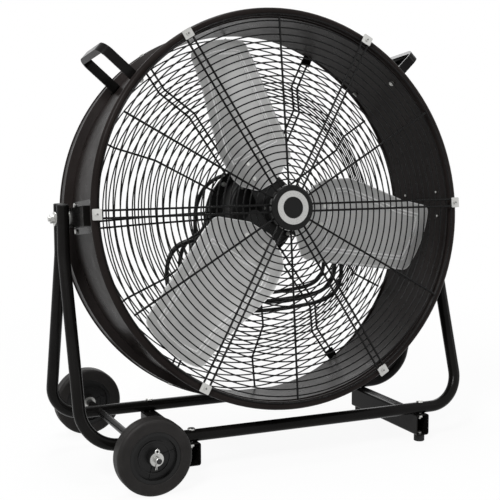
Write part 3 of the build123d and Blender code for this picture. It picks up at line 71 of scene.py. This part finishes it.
def make_camera():
    data = bpy.data.cameras.new("camera")
    data.lens = CAMERA_LENS
    data.sensor_width = 36.0
    data.clip_end = 50.0
    camera = bpy.data.objects.new("camera", data)
    bpy.context.collection.objects.link(camera)
    turn = (Matrix.Rotation(-CAMERA_YAW, 4, "Z") @ Matrix.Rotation(pi / 2 - CAMERA_DROP, 4, "X")
            @ Matrix.Rotation(CAMERA_ROLL, 4, "Z"))
    camera.matrix_world = Matrix.Translation(CAMERA_PLACE) @ turn
    bpy.context.scene.camera = camera


make_camera()


# ---------------------------------------------------------------- node helpers
class Nodes:
    """Short names for building a material's node tree."""

    def __init__(self, name):
        self.material = bpy.data.materials.new(name)
        self.material.use_nodes = True
        self.tree = self.material.node_tree
        self.shader = self.tree.nodes["Principled BSDF"]
        self.space = self.tree.nodes.new("ShaderNodeTexCoord").outputs["Object"]

    def add(self, kind, **values):
        node = self.tree.nodes.new(kind)
        for key, value in values.items():
            if key in node.inputs:
                node.inputs[key].default_value = value
            else:
                setattr(node, key, value)
        return node

    def link(self, source, target):
        self.tree.links.new(source, target)

    def stretched(self, scale):
        """Object coordinates stretched by a different amount along each axis."""
        node = self.add("ShaderNodeMapping")
        node.inputs["Scale"].default_value = scale
        self.link(self.space, node.inputs["Vector"])
        return node.outputs["Vector"]

    def noise(self, scale, detail=3.0, roughness=0.55, vector=None):
        node = self.add("ShaderNodeTexNoise", Scale=scale, Detail=detail, Roughness=roughness)
        self.link(vector or self.space, node.inputs["Vector"])
        return node.outputs["Fac"]

    def ramp(self, source, stops):
        """Colour ramp with (place, colour) stops."""
        node = self.add("ShaderNodeValToRGB")
        ramp = node.color_ramp
        while len(ramp.elements) < len(stops):
            ramp.elements.new(0.5)
        for element, (place, colour) in zip(ramp.elements, stops):
            element.position = place
            element.color = (*colour, 1.0)
        self.link(source, node.inputs["Fac"])
        return node.outputs["Color"]

    def span(self, source, low, high, start=0.3, end=0.7):
        """Maps a 0 to 1 source onto a range of values."""
        node = self.add("ShaderNodeMapRange")
        node.inputs["From Min"].default_value = start
        node.inputs["From Max"].default_value = end
        node.inputs["To Min"].default_value = low
        node.inputs["To Max"].default_value = high
        self.link(source, node.inputs["Value"])
        return node.outputs["Result"]

    def mix(self, share, first, second):
        """Mixes two colours, each a socket or a constant, by a socket's share."""
        node = self.add("ShaderNodeMix", data_type="RGBA")
        self.link(share, node.inputs["Factor"])
        for name, value in (("A", first), ("B", second)):
            socket = [s for s in node.inputs if s.name == name and s.type == "RGBA"][0]
            if isinstance(value, bpy.types.NodeSocket):
                self.link(value, socket)
            else:
                socket.default_value = (*value, 1.0)
        return [s for s in node.outputs if s.type == "RGBA"][0]

    def bump(self, height, strength, distance, below=None):
        node = self.add("ShaderNodeBump", Strength=strength, Distance=distance)
        self.link(height, node.inputs["Height"])
        if below:
            self.link(below, node.inputs["Normal"])
        return node.outputs["Normal"]

    def set(self, **values):
        """Sets or links the shader's sockets; an underscore stands for a space."""
        for key, value in values.items():
            socket = self.shader.inputs[key.replace("_", " ")]
            if isinstance(value, bpy.types.NodeSocket):
                self.link(value, socket)
            elif isinstance(value, tuple):
                socket.default_value = (*value, 1.0)
            else:
                socket.default_value = value
        return self.material


def edge_share(build, radius):
    """0 on flat ground and 1 on sharp edges within the radius, from the bevelled normal."""
    bevel = build.add("ShaderNodeBevel", samples=4, Radius=radius)
    geometry = build.add("ShaderNodeNewGeometry")
    dot = build.add("ShaderNodeVectorMath", operation="DOT_PRODUCT")
    build.link(bevel.outputs["Normal"], dot.inputs[0])
    build.link(geometry.outputs["Normal"], dot.inputs[1])
    return build.span(dot.outputs["Value"], 1.0, 0.0, 0.80, 0.995)


def paint(name, colour, rough, peel, specular=0.16, dust=0.0):
    """Powder coat: fine orange peel, slightly uneven gloss and a little dust."""
    build = Nodes(name)
    cloud = build.noise(9.0, 4.0)
    fine = build.noise(900.0, 2.0)
    pale = tuple(c * 1.35 + 0.002 for c in colour)
    base = build.ramp(cloud, [(0.35, colour), (0.68, pale)])
    if dust:
        speck = build.span(build.noise(60.0, 6.0, 0.7), 0.0, dust, 0.55, 0.75)
        base = build.mix(speck, base, (0.16, 0.15, 0.14))
    gloss = build.span(build.noise(35.0, 5.0), rough * 0.85, rough * 1.2)
    peel_height = build.noise(420.0, 2.0)
    normal = build.bump(peel_height, peel, 0.0004)
    normal = build.bump(fine, peel * 0.4, 0.0002, normal)
    return build.set(Base_Color=base, Roughness=gloss, Normal=normal, Specular_IOR_Level=specular)


def plastic(name, colour, rough, grain=0.25, scale=700.0, specular=0.18):
    """Moulded plastic or rubber with a fine grain."""
    build = Nodes(name)
    cloud = build.noise(14.0, 4.0)
    base = build.ramp(cloud, [(0.3, colour), (0.72, tuple(c * 1.5 + 0.002 for c in colour))])
    gloss = build.span(build.noise(50.0, 4.0), rough * 0.88, rough * 1.12)
    normal = build.bump(build.noise(scale, 3.0, 0.6), grain, 0.0003)
    return build.set(Base_Color=base, Roughness=gloss, Normal=normal, Specular_IOR_Level=specular)


def metal(name, colour, rough, streaks=(60.0, 60.0, 60.0), grain=0.15, spread=0.25):
    """Bare or plated metal with rolled or turned streaks."""
    build = Nodes(name)
    stretched = build.stretched(streaks)
    streak = build.noise(6.0, 6.0, 0.65, stretched)
    cloud = build.noise(11.0, 5.0, 0.6)
    dark = tuple(c * (1 - spread) for c in colour)
    base = build.ramp(cloud, [(0.32, dark), (0.66, colour)])
    gloss = build.span(streak, rough * 0.8, rough * 1.25)
    normal = build.bump(streak, grain, 0.0002)
    return build.set(Base_Color=base, Roughness=gloss, Metallic=1.0, Normal=normal)


def blade_metal():
    """Satin rolled aluminium sheet with faint tumbling marks and a painted highlight on its sharp edges."""
    build = Nodes("blade_aluminium")
    grain = build.noise(5.0, 7.0, 0.7, build.stretched((40.0, 220.0, 220.0)))
    cloud = build.noise(6.0, 5.0, 0.6)
    base = build.ramp(cloud, [(0.3, (0.36, 0.36, 0.355)), (0.7, (0.47, 0.47, 0.465))])
    # painted highlight: the sharp edges, the embossed loop among them, are mixed towards pale grey
    base = build.mix(edge_share(build, 0.004), base, (0.88, 0.88, 0.88))
    gloss = build.span(grain, 0.28, 0.42)
    normal = build.bump(grain, 0.10, 0.0002)
    normal = build.bump(build.noise(28.0, 3.0), 0.12, 0.0008, normal)
    return build.set(Base_Color=base, Roughness=gloss, Metallic=0.4, Normal=normal,
                     Specular_IOR_Level=0.3)


def winding_copper():
    """Enamelled copper wire, seen as fine turns."""
    build = Nodes("copper")
    wave = build.add("ShaderNodeTexWave", bands_direction="Z", Scale=180.0, Distortion=1.2)
    build.link(build.space, wave.inputs["Vector"])
    base = build.ramp(wave.outputs["Fac"], [(0.1, (0.16, 0.06, 0.025)), (0.8, (0.62, 0.27, 0.12))])
    normal = build.bump(wave.outputs["Fac"], 0.7, 0.0006)
    return build.set(Base_Color=base, Roughness=0.35, Metallic=0.8, Normal=normal)


def tyre_rubber():
    """Dark rubber with dusty grey bloom on the tread."""
    build = Nodes("tyre_rubber")
    bloom = build.span(build.noise(26.0, 6.0, 0.7), 0.0, 0.5, 0.4, 0.75)
    base = build.mix(bloom, (0.009, 0.008, 0.0075), (0.022, 0.020, 0.019))
    gloss = build.span(build.noise(60.0, 4.0), 0.48, 0.66)
    normal = build.bump(build.noise(800.0, 3.0), 0.3, 0.0003)
    return build.set(Base_Color=base, Roughness=gloss, Normal=normal, Specular_IOR_Level=0.2)


MATERIALS = {
    "black_frame": paint("black_frame", (0.0045, 0.0042, 0.004), 0.20, 0.15, 0.07),
    "drum_black": paint("drum_black", (0.0110, 0.0086, 0.0080), 0.30, 0.30, 0.04, dust=0.02),
    "guard_black": paint("guard_black", (0.003, 0.003, 0.003), 0.26, 0.15, 0.12),
    "cap_plastic": plastic("cap_plastic", (0.008, 0.008, 0.008), 0.45),
    "rubber": plastic("rubber", (0.010, 0.010, 0.010), 0.62, 0.35),
    "tyre_rubber": tyre_rubber(),
    "hub_plastic": plastic("hub_plastic", (0.007, 0.007, 0.007), 0.34),
    "zinc": metal("zinc", (0.62, 0.62, 0.60), 0.34, spread=0.35),
    "cap_gloss": plastic("cap_gloss", (0.003, 0.003, 0.003), 0.14, 0.06, specular=0.16),
    "badge_metal": metal("badge_metal", (0.47, 0.47, 0.46), 0.30, spread=0.14),
    "motor_black": paint("motor_black", (0.008, 0.008, 0.008), 0.38, 0.40, 0.2),
    "core_steel": metal("core_steel", (0.35, 0.34, 0.33), 0.42, (20.0, 600.0, 20.0), 0.3),
    "copper": winding_copper(),
    "blade_aluminium": blade_metal(),
    "hub_steel": paint("hub_steel", (0.008, 0.008, 0.008), 0.4, 0.35),
    "box_black": paint("box_black", (0.008, 0.008, 0.008), 0.36, 0.5),
    "knob_plastic": plastic("knob_plastic", (0.008, 0.008, 0.008), 0.42),
    "cord_black": plastic("cord_black", (0.007, 0.007, 0.007), 0.36, 0.2, 500.0),
    "prong_brass": metal("prong_brass", (0.74, 0.62, 0.36), 0.25, spread=0.15),
    "mark_white": plastic("mark_white", (0.72, 0.72, 0.70), 0.5),
    # painted shade: flat dark plastic laid in the screw recesses and over the axle ends, where shade falls
    "painted_recess_shade": plastic("painted_recess_shade", (0.02, 0.02, 0.02), 0.6),
}

for part in frame["record"]["subparts"]:
    mesh = NODES[part["node"]].data
    mesh.materials.clear()
    mesh.materials.append(MATERIALS[part["material_slot"]])


# ---------------------------------------------------------------- piece helpers
def add_piece(name, data, material, body):
    piece = bpy.data.objects.new(name, data)
    bpy.context.collection.objects.link(piece)
    data.materials.append(MATERIALS[material])
    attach(piece, body)
    return piece


def lathe(name, profile, origin, axis, steps=48, bored=False):
    """Closed mesh turned from (radius, height) points; a bored one has an open bore in place of ends."""
    across = axis.orthogonal().normalized()
    beside = axis.cross(across)
    form = bmesh.new()
    rings = []
    for radius, height in profile:
        ring = [form.verts.new(origin + height * axis + radius * (cos(turn) * across + sin(turn) * beside))
                for turn in (2 * pi * i / steps for i in range(steps))]
        rings.append(ring)
    pairs = list(zip(rings, rings[1:]))
    if bored:
        pairs.append((rings[-1], rings[0]))
    for lower, upper in pairs:
        for i in range(steps):
            j = (i + 1) % steps
            form.faces.new((lower[i], lower[j], upper[j], upper[i]))
    if not bored:
        form.faces.new(rings[0][::-1])
        form.faces.new(rings[-1])
    bmesh.ops.recalc_face_normals(form, faces=form.faces)
    mesh = bpy.data.meshes.new(name)
    form.to_mesh(mesh)
    form.free()
    for face in mesh.polygons:
        face.use_smooth = len(face.vertices) == 4
    return mesh


# ---------------------------------------------------------------- power cord
CORD_RADIUS = 4.5
RELIEF_END_Y = -73.2
RELIEF_Z = -116.2
COIL_REAR_Z = -83.2
COIL_PITCH = 10.2
COIL_START = (62.0, -206.0, -83.2)
COIL_END = (-9.0, 87.0, -47.4)
COIL_STEPS = 21
RELIEF_START_Y = -35.0
RELIEF_LENGTH = 38.0
RELIEF_FLANGE = 5.0
RELIEF_RIBS = 7
RELIEF_RIB_RADIUS = 8.2
RELIEF_TAPER = 2.6
RELIEF_GROOVE = 1.1
SADDLE = 87.0
SHOULDER = 94.5
TURN_LENGTH = 1150.0
TURN_LOOSENESS = (1.0, 0.86, 1.04, 0.94)
TURN_PLACES = [
    (0.0, 26, -214, (1, 0)),
    (0.2, 222, -128, (0, 1)),
    (0.38, SHOULDER, 4, (-0.1, 1)),
    (0.5, 0, SADDLE, (-1, 0)),
    (0.62, -SHOULDER, 4, (-0.1, -1)),
    (0.8, -196, -120, (0, -1)),
]


def coil_stop(index):
    """Place and direction of the coil after a number of steps of its turns, as in the CAD source."""
    part, x, y, (dx, dy) = TURN_PLACES[index % len(TURN_PLACES)]
    turn = index // len(TURN_PLACES)
    if y < 0:
        x = x * TURN_LOOSENESS[turn]
        y = y * TURN_LOOSENESS[turn]
    depth = COIL_REAR_Z + COIL_PITCH * (turn + part)
    return Vector((x, y, depth)), Vector((dx, dy, COIL_PITCH / TURN_LENGTH)).normalized()


def coil_points():
    """Two control points for each step of the coil, where the tangents at its ends lead."""
    way = Vector((1, 0, COIL_PITCH / TURN_LENGTH)).normalized()
    stops = [(Vector(COIL_START) + 2 * CORD_RADIUS * way, way)]
    stops += [coil_stop(i) for i in range(1, COIL_STEPS + 1)]
    points = []
    for (start, start_way), (end, end_way) in zip(stops, stops[1:]):
        chord = end - start
        lean = chord.dot(start_way + end_way)
        spread = 2 * (1 - start_way.dot(end_way))
        reach = (sqrt(lean ** 2 + spread * chord.dot(chord)) - lean) / spread
        points += [start + reach * start_way, end - reach * end_way]
    return points


def cord_points():
    """The whole cord's control points in the drum's frame, from the relief to the plug."""
    x, y, z = COIL_START
    stretch = [
        (0, RELIEF_END_Y, RELIEF_Z),
        (0, RELIEF_END_Y - 27, RELIEF_Z),
        (-2, RELIEF_END_Y - 53, RELIEF_Z + 5),
        (-10, y + 50, z - 16),
        (1.3, y + 19, z - 5),
        (x - 33, y, z - 0.3),
    ]
    x, y, z = COIL_END
    tail = [
        (x - 30, y, z + 0.3),
        (x - 62, y - 4, z - 11),
        (x - 90, y - 26, z - 28),
        (x - 104, y - 62, z - 42),
        (x - 108, y - 98, z - 47),
        (x - 108, y - 132, z - 47),
    ]
    return [head_point(*point) for point in stretch + [tuple(p) for p in coil_points()] + tail]


def make_cord():
    data = bpy.data.curves.new("mains_cord", "CURVE")
    data.dimensions = "3D"
    data.bevel_depth = CORD_RADIUS * MM
    data.bevel_resolution = 5
    data.use_fill_caps = True
    data.resolution_u = 10
    spline = data.splines.new("NURBS")
    points = cord_points()
    spline.points.add(len(points) - 1)
    for point, place in zip(spline.points, points):
        point.co = (*place, 1.0)
    spline.order_u = 3
    spline.use_endpoint_u = True
    cord = add_piece("mains_cord", data, "cord_black", "head")
    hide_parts("power_cord", "cord_coil", "cord_tail")
    return cord


def make_relief():
    """Ribbed, tapered strain relief on the switch box."""
    profile = [(3.0, -3.0), (6.0, -3.0), (6.2, 0.2), (8.5, 0.3), (8.5, RELIEF_FLANGE)]
    for i in range(RELIEF_RIBS):
        start = RELIEF_FLANGE + i * (RELIEF_LENGTH - RELIEF_FLANGE) / RELIEF_RIBS
        outer = RELIEF_RIB_RADIUS - RELIEF_TAPER * i / RELIEF_RIBS
        inner = outer - RELIEF_GROOVE
        profile += [(inner, start + 0.4), (inner, start + 1.6), (outer, start + 2.0), (outer, start + 4.2)]
    profile += [(5.4, RELIEF_LENGTH), (4.6, RELIEF_LENGTH)]
    profile = [(radius * MM, height * MM) for radius, height in profile]
    mesh = lathe("cord_relief", profile, head_point(0, RELIEF_START_Y, RELIEF_Z), -UPWARD)
    relief = add_piece("cord_relief", mesh, "rubber", "head")
    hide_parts("strain_relief")
    return relief


cord = make_cord()
relief = make_relief()


# ---------------------------------------------------------------- guard wires
# the same dimensions as in the CAD source, in millimetres
RING_WIRE = 1.5
SPOKE_WIRE = 2.25
WELD = 0.05
CROSSING = RING_WIRE + SPOKE_WIRE + WELD
RING_PITCH = 14.4
PAIR_OFFSET = 7.5
BEAD_PLACE = (411.0, 136.0)
BEAD_RADIUS = 9.0
BEAD_SEAT = 0.2
FRONT_FIRST = 60.0
FRONT_COUNT = 25
FRONT_LAST = FRONT_FIRST + RING_PITCH * (FRONT_COUNT - 1)
FRONT_RIM_Z = BEAD_PLACE[1] + sqrt((BEAD_RADIUS + RING_WIRE + BEAD_SEAT) ** 2
                                   - (BEAD_PLACE[0] - FRONT_LAST) ** 2)
FRONT_DISH = 7.0
SINGLE_END = 399.0
PAIR_END = 416.0
PLATE_RADIUS = 45.0
PLATE_BORE = 3.25
REAR_TURN = 2.2
REAR_SECTION = [(398.0, -103.0), (332.0, -103.0), (256.0, -27.0), (105.0, -27.0)]
REAR_SLOPE = atan2(76.0, 76.0)
REAR_LENGTH = (398.0 - 332.0) + hypot(76.0, 76.0) + (256.0 - 105.0)
REAR_COUNT = int((REAR_LENGTH - RING_PITCH / 2) / RING_PITCH) + 1
REAR_SHIFT = CROSSING * tan(REAR_SLOPE / 2)
REAR_SPOKE = [(402.0, -103.0 - CROSSING), (332.0 - REAR_SHIFT, -103.0 - CROSSING),
              (256.0 - REAR_SHIFT, -27.0 - CROSSING), (91.0, -27.0 - CROSSING)]
REAR_BEND = 5.0
BEND_STEPS = 6
SPOKE_ANGLES = [60.0 * i for i in range(6)]
HANDLE_SHARE = 0.5523


def on_head(radius, aside, depth, angle):
    """Point at a radius and a sideways offset, turned about the drum's axis."""
    turn = radians(angle)
    return head_point(radius * cos(turn) - aside * sin(turn), radius * sin(turn) + aside * cos(turn), depth)


def front_depth(radius):
    """Depth of the front rings, which lie on a shallow cone."""
    return FRONT_RIM_Z + FRONT_DISH * (FRONT_LAST - radius) / FRONT_LAST


def rear_ring(along):
    """Radius and depth of the rear guard's section at a distance from its rim."""
    for (r0, z0), (r1, z1) in zip(REAR_SECTION, REAR_SECTION[1:]):
        span = hypot(r1 - r0, z1 - z0)
        if along <= span:
            return r0 + (r1 - r0) * along / span, z0 + (z1 - z0) * along / span
        along -= span
    return REAR_SECTION[-1]


def ring_spline(data, radius, depth):
    """A round ring of wire as four Bezier arcs."""
    spline = data.splines.new("BEZIER")
    spline.bezier_points.add(3)
    for i, point in enumerate(spline.bezier_points):
        angle = 90.0 * i
        lean = radius * HANDLE_SHARE
        point.co = on_head(radius, 0, depth, angle)
        point.handle_left = on_head(radius, -lean, depth, angle)
        point.handle_right = on_head(radius, lean, depth, angle)
        point.radius = RING_WIRE / SPOKE_WIRE
    spline.use_cyclic_u = True
    spline.resolution_u = 28


def rounded(section):
    """The (radius, depth) corners of a spoke with each bend as a tangent arc."""
    stops = [Vector(section[0])]
    for before, corner, after in zip(section, section[1:], section[2:]):
        before, corner, after = Vector(before), Vector(corner), Vector(after)
        back = (before - corner).normalized()
        onward = (after - corner).normalized()
        half = back.angle(onward) / 2
        centre = corner + REAR_BEND / sin(half) * (back + onward).normalized()
        start = corner + REAR_BEND / tan(half) * back - centre
        end = corner + REAR_BEND / tan(half) * onward - centre
        sweep = pi - 2 * half
        for i in range(BEND_STEPS + 1):
            share = i / BEND_STEPS
            stops.append(centre + (sin((1 - share) * sweep) * start + sin(share * sweep) * end)
                         / sin(sweep))
    stops.append(Vector(section[-1]))
    return stops


def spoke_spline(data, section, aside, angle):
    """A spoke wire beside the radius at an angle."""
    stops = rounded(section)
    spline = data.splines.new("POLY")
    spline.points.add(len(stops) - 1)
    for point, (radius, depth) in zip(spline.points, stops):
        point.co = (*on_head(radius, aside, depth, angle), 1.0)
        point.radius = 1.0


def weld_mesh(name, crossings):
    """Small weld nuggets where a spoke lies on a ring; each crossing is (place, along)."""
    form = bmesh.new()
    for place, along in crossings:
        made = bmesh.ops.create_icosphere(form, subdivisions=1, radius=1.0)
        beside = along.cross(FORWARD).normalized()
        axes = Matrix((along, beside, FORWARD)).transposed()
        shape = axes @ Matrix.Diagonal((0.0030, 0.0023, 0.0019))
        for vert in made["verts"]:
            vert.co = place + shape @ vert.co
    mesh = bpy.data.meshes.new(name)
    form.to_mesh(mesh)
    form.free()
    for face in mesh.polygons:
        face.use_smooth = True
    return mesh


def make_guard(name, rings, spokes, side):
    """Round wires and welds in place of a guard's CAD solids; side is where the spokes lie."""
    data = bpy.data.curves.new(name, "CURVE")
    data.dimensions = "3D"
    data.bevel_depth = SPOKE_WIRE * MM
    data.bevel_resolution = 3
    data.use_fill_caps = True
    for radius, depth in rings:
        ring_spline(data, radius, depth)
    crossings = []
    for section, aside, angle in spokes:
        spoke_spline(data, section, aside, angle)
        for radius, depth in rings:
            if min(r for r, z in section) < radius < max(r for r, z in section):
                place = on_head(sqrt(radius ** 2 - aside ** 2), aside, depth + side * RING_WIRE, angle)
                crossings.append((place, head_way(cos(radians(angle)), sin(radians(angle)), 0)))
    guard = add_piece(name, data, "guard_black", "head")
    welds = add_piece(name + "_welds", weld_mesh(name + "_welds", crossings), "guard_black", "head")
    return guard, welds


def make_hub_plate(name):
    """The round plate with a screw hole that the front spokes end on."""
    depth = front_depth(PLATE_RADIUS) + CROSSING
    half = SPOKE_WIRE + WELD
    outer = PLATE_RADIUS - WELD
    profile = [(PLATE_BORE, -half), (outer - 0.4, -half), (outer, -half + 0.4),
               (outer, half - 0.4), (outer - 0.4, half), (PLATE_BORE, half)]
    mesh = lathe(name, [(r * MM, h * MM) for r, h in profile], head_point(0, 0, depth), FORWARD,
                 72, bored=True)
    return add_piece(name, mesh, "guard_black", "head")


front_rings = [(FRONT_FIRST + RING_PITCH * i, front_depth(FRONT_FIRST + RING_PITCH * i))
               for i in range(FRONT_COUNT)]


def front_section(end):
    """The two ends of a front spoke that stops at a radius."""
    return [(PLATE_RADIUS + WELD, front_depth(PLATE_RADIUS) + CROSSING), (end, front_depth(end) + CROSSING)]


front_spokes = [(front_section(PAIR_END), aside, angle) for angle in SPOKE_ANGLES
                for aside in (-PAIR_OFFSET, PAIR_OFFSET)]
front_spokes += [(front_section(SINGLE_END), 0, angle + 30) for angle in SPOKE_ANGLES]
front_guard, _ = make_guard("front_guard_wires", front_rings, front_spokes, 1)
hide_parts("front_guard")
make_hub_plate("front_guard_plate")

rear_rings = [rear_ring(RING_PITCH * i) for i in range(REAR_COUNT)]
rear_spokes = [(REAR_SPOKE, aside, angle + REAR_TURN) for angle in SPOKE_ANGLES
               for aside in (-PAIR_OFFSET, PAIR_OFFSET)]
rear_spokes += [(REAR_SPOKE, 0, angle + REAR_TURN + 30) for angle in SPOKE_ANGLES]
rear_guard, _ = make_guard("rear_guard_wires", rear_rings, rear_spokes, -1)
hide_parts("rear_guard")


# ---------------------------------------------------------------- small details
CLAMP_INNER_RADIUS = 401.5
CLAMP_SHEET = 2.0
CLAMP_SCREW_HEAD = 2.6
CAP_HEIGHT = 13.0
CLAMP_FACE_Z = front_depth(CLAMP_INNER_RADIUS) + CROSSING + SPOKE_WIRE + BEAD_SEAT
CLAMP_SCREW_TOP = CLAMP_FACE_Z + CLAMP_SHEET + CLAMP_SCREW_HEAD
CAP_FRONT_Z = front_depth(PLATE_RADIUS) + CROSSING + SPOKE_WIRE + 2 * WELD + CAP_HEIGHT
LID_Z = -139.25
KNOB_PLACE = (0.0, 14.0, -156.25)


def bar_mesh(name, bars):
    """Thin bars; each is (centre, along, normal, length, width, height) in metres."""
    form = bmesh.new()
    for centre, along, normal, length, width, height in bars:
        made = bmesh.ops.create_cube(form, size=1.0)
        axes = Matrix((along, normal.cross(along), normal)).transposed()
        shape = axes @ Matrix.Diagonal((length, width, height))
        for vert in made["verts"]:
            vert.co = centre + shape @ vert.co
    mesh = bpy.data.meshes.new(name)
    form.to_mesh(mesh)
    form.free()
    return mesh


def screw_crosses():
    """Painted shade: dark bars laid in the cross recesses of the clamp screws."""
    bars = []
    for angle in SPOKE_ANGLES:
        for turn in (angle + 20, angle + 110):
            bars.append((on_head(BEAD_PLACE[0], 0, CLAMP_SCREW_TOP + 0.02, angle),
                         head_way(cos(radians(turn)), sin(radians(turn)), 0), FORWARD,
                         0.0052, 0.0011, 0.0002))
    # the dark bars are painted shade in the screw recesses
    add_piece("clamp_screw_crosses", bar_mesh("clamp_screw_crosses", bars), "painted_recess_shade", "head")


def dial_marks():
    """Three plain ticks round the knob and a pointer line on it."""
    bars = []
    for angle in (90, 30, -30):
        way = head_way(-cos(radians(angle)), sin(radians(angle)), 0)
        bars.append((head_point(*KNOB_PLACE[:2], LID_Z - 0.1) + 0.0195 * way, way, -FORWARD,
                     0.005, 0.0012, 0.0003))
    add_piece("dial_ticks", bar_mesh("dial_ticks", bars), "mark_white", "head")
    pointer = [(head_point(*KNOB_PLACE) + 0.0075 * UPWARD, UPWARD, -FORWARD, 0.009, 0.0014, 0.0003)]
    add_piece("dial_pointer", bar_mesh("dial_pointer", pointer), "mark_white", "speed_dial")


def cap_ring():
    """A fine raised ring near the edge of the hub cap."""
    profile = [(40.6, -0.3), (40.9, 0.35), (41.5, 0.35), (41.8, -0.3)]
    mesh = lathe("cap_fine_ring", [(r * MM, h * MM) for r, h in profile],
                 head_point(0, 0, CAP_FRONT_Z), FORWARD, 96, bored=True)
    add_piece("cap_fine_ring", mesh, "cap_gloss", "head")


AXLE_PLACE = (-0.333, 0.076)
AXLE_END_Y = 0.275
AXLE_RADIUS = 0.00635
PIN_Y = 0.2641


def axle_ends():
    """Thin dark discs of painted shade on the ends of the axle, and the splayed legs of the split pins."""
    x, z = AXLE_PLACE
    form = bmesh.new()
    legs = bpy.data.curves.new("split_pin_legs", "CURVE")
    legs.dimensions = "3D"
    legs.bevel_depth = 0.0008
    legs.bevel_resolution = 3
    legs.use_fill_caps = True
    for side in (-1, 1):
        face = Matrix.Translation((x, side * AXLE_END_Y, z)) @ Matrix.Rotation(pi / 2, 4, "X")
        bmesh.ops.create_cone(form, cap_ends=True, segments=32, radius1=AXLE_RADIUS - 0.0009,
                              radius2=AXLE_RADIUS - 0.0009, depth=0.0004, matrix=face)
        for lean in (-0.0045, -0.0015):
            spline = legs.splines.new("POLY")
            spline.points.add(2)
            stops = [(x, side * PIN_Y, z - 0.004), (x + lean * 0.3, side * PIN_Y, z - 0.0085),
                     (x + lean, side * (PIN_Y + 0.001), z - 0.019)]
            for point, stop in zip(spline.points, stops):
                point.co = (*stop, 1.0)
    mesh = bpy.data.meshes.new("axle_end_faces")
    form.to_mesh(mesh)
    form.free()
    # painted shade: thin dark discs laid over the axle ends
    add_piece("axle_end_faces", mesh, "painted_recess_shade", "stand")
    add_piece("split_pin_legs", legs, "zinc", "stand")


screw_crosses()
dial_marks()
cap_ring()
axle_ends()


# ---------------------------------------------------------------- stage
FLOOR_HALF = 14.0
FLOOR_SHARE = (0.93, 1.0)      # how much the floor glows, near the fan and far from it
FLOOR_FADE = (0.9, 2.2)
ROOM_LIGHT = 0.25              # the surroundings' own light on the object


def make_stage():
    size = FLOOR_HALF
    floor_mesh = bpy.data.meshes.new("floor")
    corners = [(-size, -size, 0), (size, -size, 0), (size, size, 0), (-size, size, 0)]
    floor_mesh.from_pydata(corners, [], [(0, 1, 2, 3)])
    floor = bpy.data.objects.new("floor", floor_mesh)
    bpy.context.collection.objects.link(floor)
    material = bpy.data.materials.new("floor")
    material.use_nodes = True
    tree = material.node_tree
    tree.nodes.clear()
    output = tree.nodes.new("ShaderNodeOutputMaterial")
    diffuse = tree.nodes.new("ShaderNodeBsdfDiffuse")
    diffuse.inputs["Color"].default_value = (0.9, 0.9, 0.9, 1)
    glow = tree.nodes.new("ShaderNodeEmission")
    path = tree.nodes.new("ShaderNodeLightPath")
    share = tree.nodes.new("ShaderNodeMath")
    share.operation = "MULTIPLY"
    either = tree.nodes.new("ShaderNodeMath")
    either.operation = "MAXIMUM"
    tree.links.new(path.outputs["Is Camera Ray"], either.inputs[0])
    tree.links.new(path.outputs["Is Glossy Ray"], either.inputs[1])
    tree.links.new(either.outputs[0], share.inputs[0])
    place = tree.nodes.new("ShaderNodeTexCoord")
    reach = tree.nodes.new("ShaderNodeVectorMath")
    reach.operation = "LENGTH"
    tree.links.new(place.outputs["Object"], reach.inputs[0])
    fade = tree.nodes.new("ShaderNodeMapRange")
    fade.inputs["From Min"].default_value, fade.inputs["From Max"].default_value = FLOOR_FADE
    fade.inputs["To Min"].default_value, fade.inputs["To Max"].default_value = FLOOR_SHARE
    tree.links.new(reach.outputs["Value"], fade.inputs["Value"])
    tree.links.new(fade.outputs["Result"], share.inputs[1])
    mix = tree.nodes.new("ShaderNodeMixShader")
    tree.links.new(share.outputs[0], mix.inputs[0])
    tree.links.new(diffuse.outputs[0], mix.inputs[1])
    tree.links.new(glow.outputs[0], mix.inputs[2])
    tree.links.new(mix.outputs[0], output.inputs[0])
    floor_mesh.materials.append(material)


def make_world():
    world = bpy.data.worlds.new("studio")
    bpy.context.scene.world = world
    world.use_nodes = True
    tree = world.node_tree
    background = tree.nodes["Background"]
    path = tree.nodes.new("ShaderNodeLightPath")
    seen = tree.nodes.new("ShaderNodeMath")
    seen.operation = "MAXIMUM"
    tree.links.new(path.outputs["Is Camera Ray"], seen.inputs[0])
    tree.links.new(path.outputs["Is Transmission Ray"], seen.inputs[1])
    seen_too = tree.nodes.new("ShaderNodeMath")
    seen_too.operation = "MAXIMUM"
    tree.links.new(seen.outputs[0], seen_too.inputs[0])
    tree.links.new(path.outputs["Is Glossy Ray"], seen_too.inputs[1])
    level = tree.nodes.new("ShaderNodeMapRange")
    level.inputs["To Min"].default_value = ROOM_LIGHT
    level.inputs["To Max"].default_value = 1.0
    tree.links.new(seen_too.outputs[0], level.inputs["Value"])
    background.inputs["Color"].default_value = (1, 1, 1, 1)
    tree.links.new(level.outputs["Result"], background.inputs["Strength"])


def area_light(name, place, target, size, power):
    data = bpy.data.lights.new(name, "AREA")
    data.shape = "RECTANGLE"
    data.size, data.size_y = size
    data.energy = power
    light = bpy.data.objects.new(name, data)
    light.matrix_world = (Matrix.Translation(place)
                          @ (Vector(target) - Vector(place)).to_track_quat("-Z", "Y").to_matrix().to_4x4())
    bpy.context.collection.objects.link(light)


make_stage()
make_world()
AIM = (0, 0, 0.5)
area_light("key", (-2.4, -2.4, 3.4), AIM, (0.9, 1.4), 130)
area_light("fill", (3.0, -2.2, 1.8), AIM, (0.5, 2.0), 14)
area_light("top", (-0.3, 0.2, 3.4), AIM, (1.6, 0.8), 45)
area_light("back", (1.5, 3.0, 2.0), AIM, (2.0, 1.5), 25)
bpy.context.scene.view_settings.view_transform = "Standard"
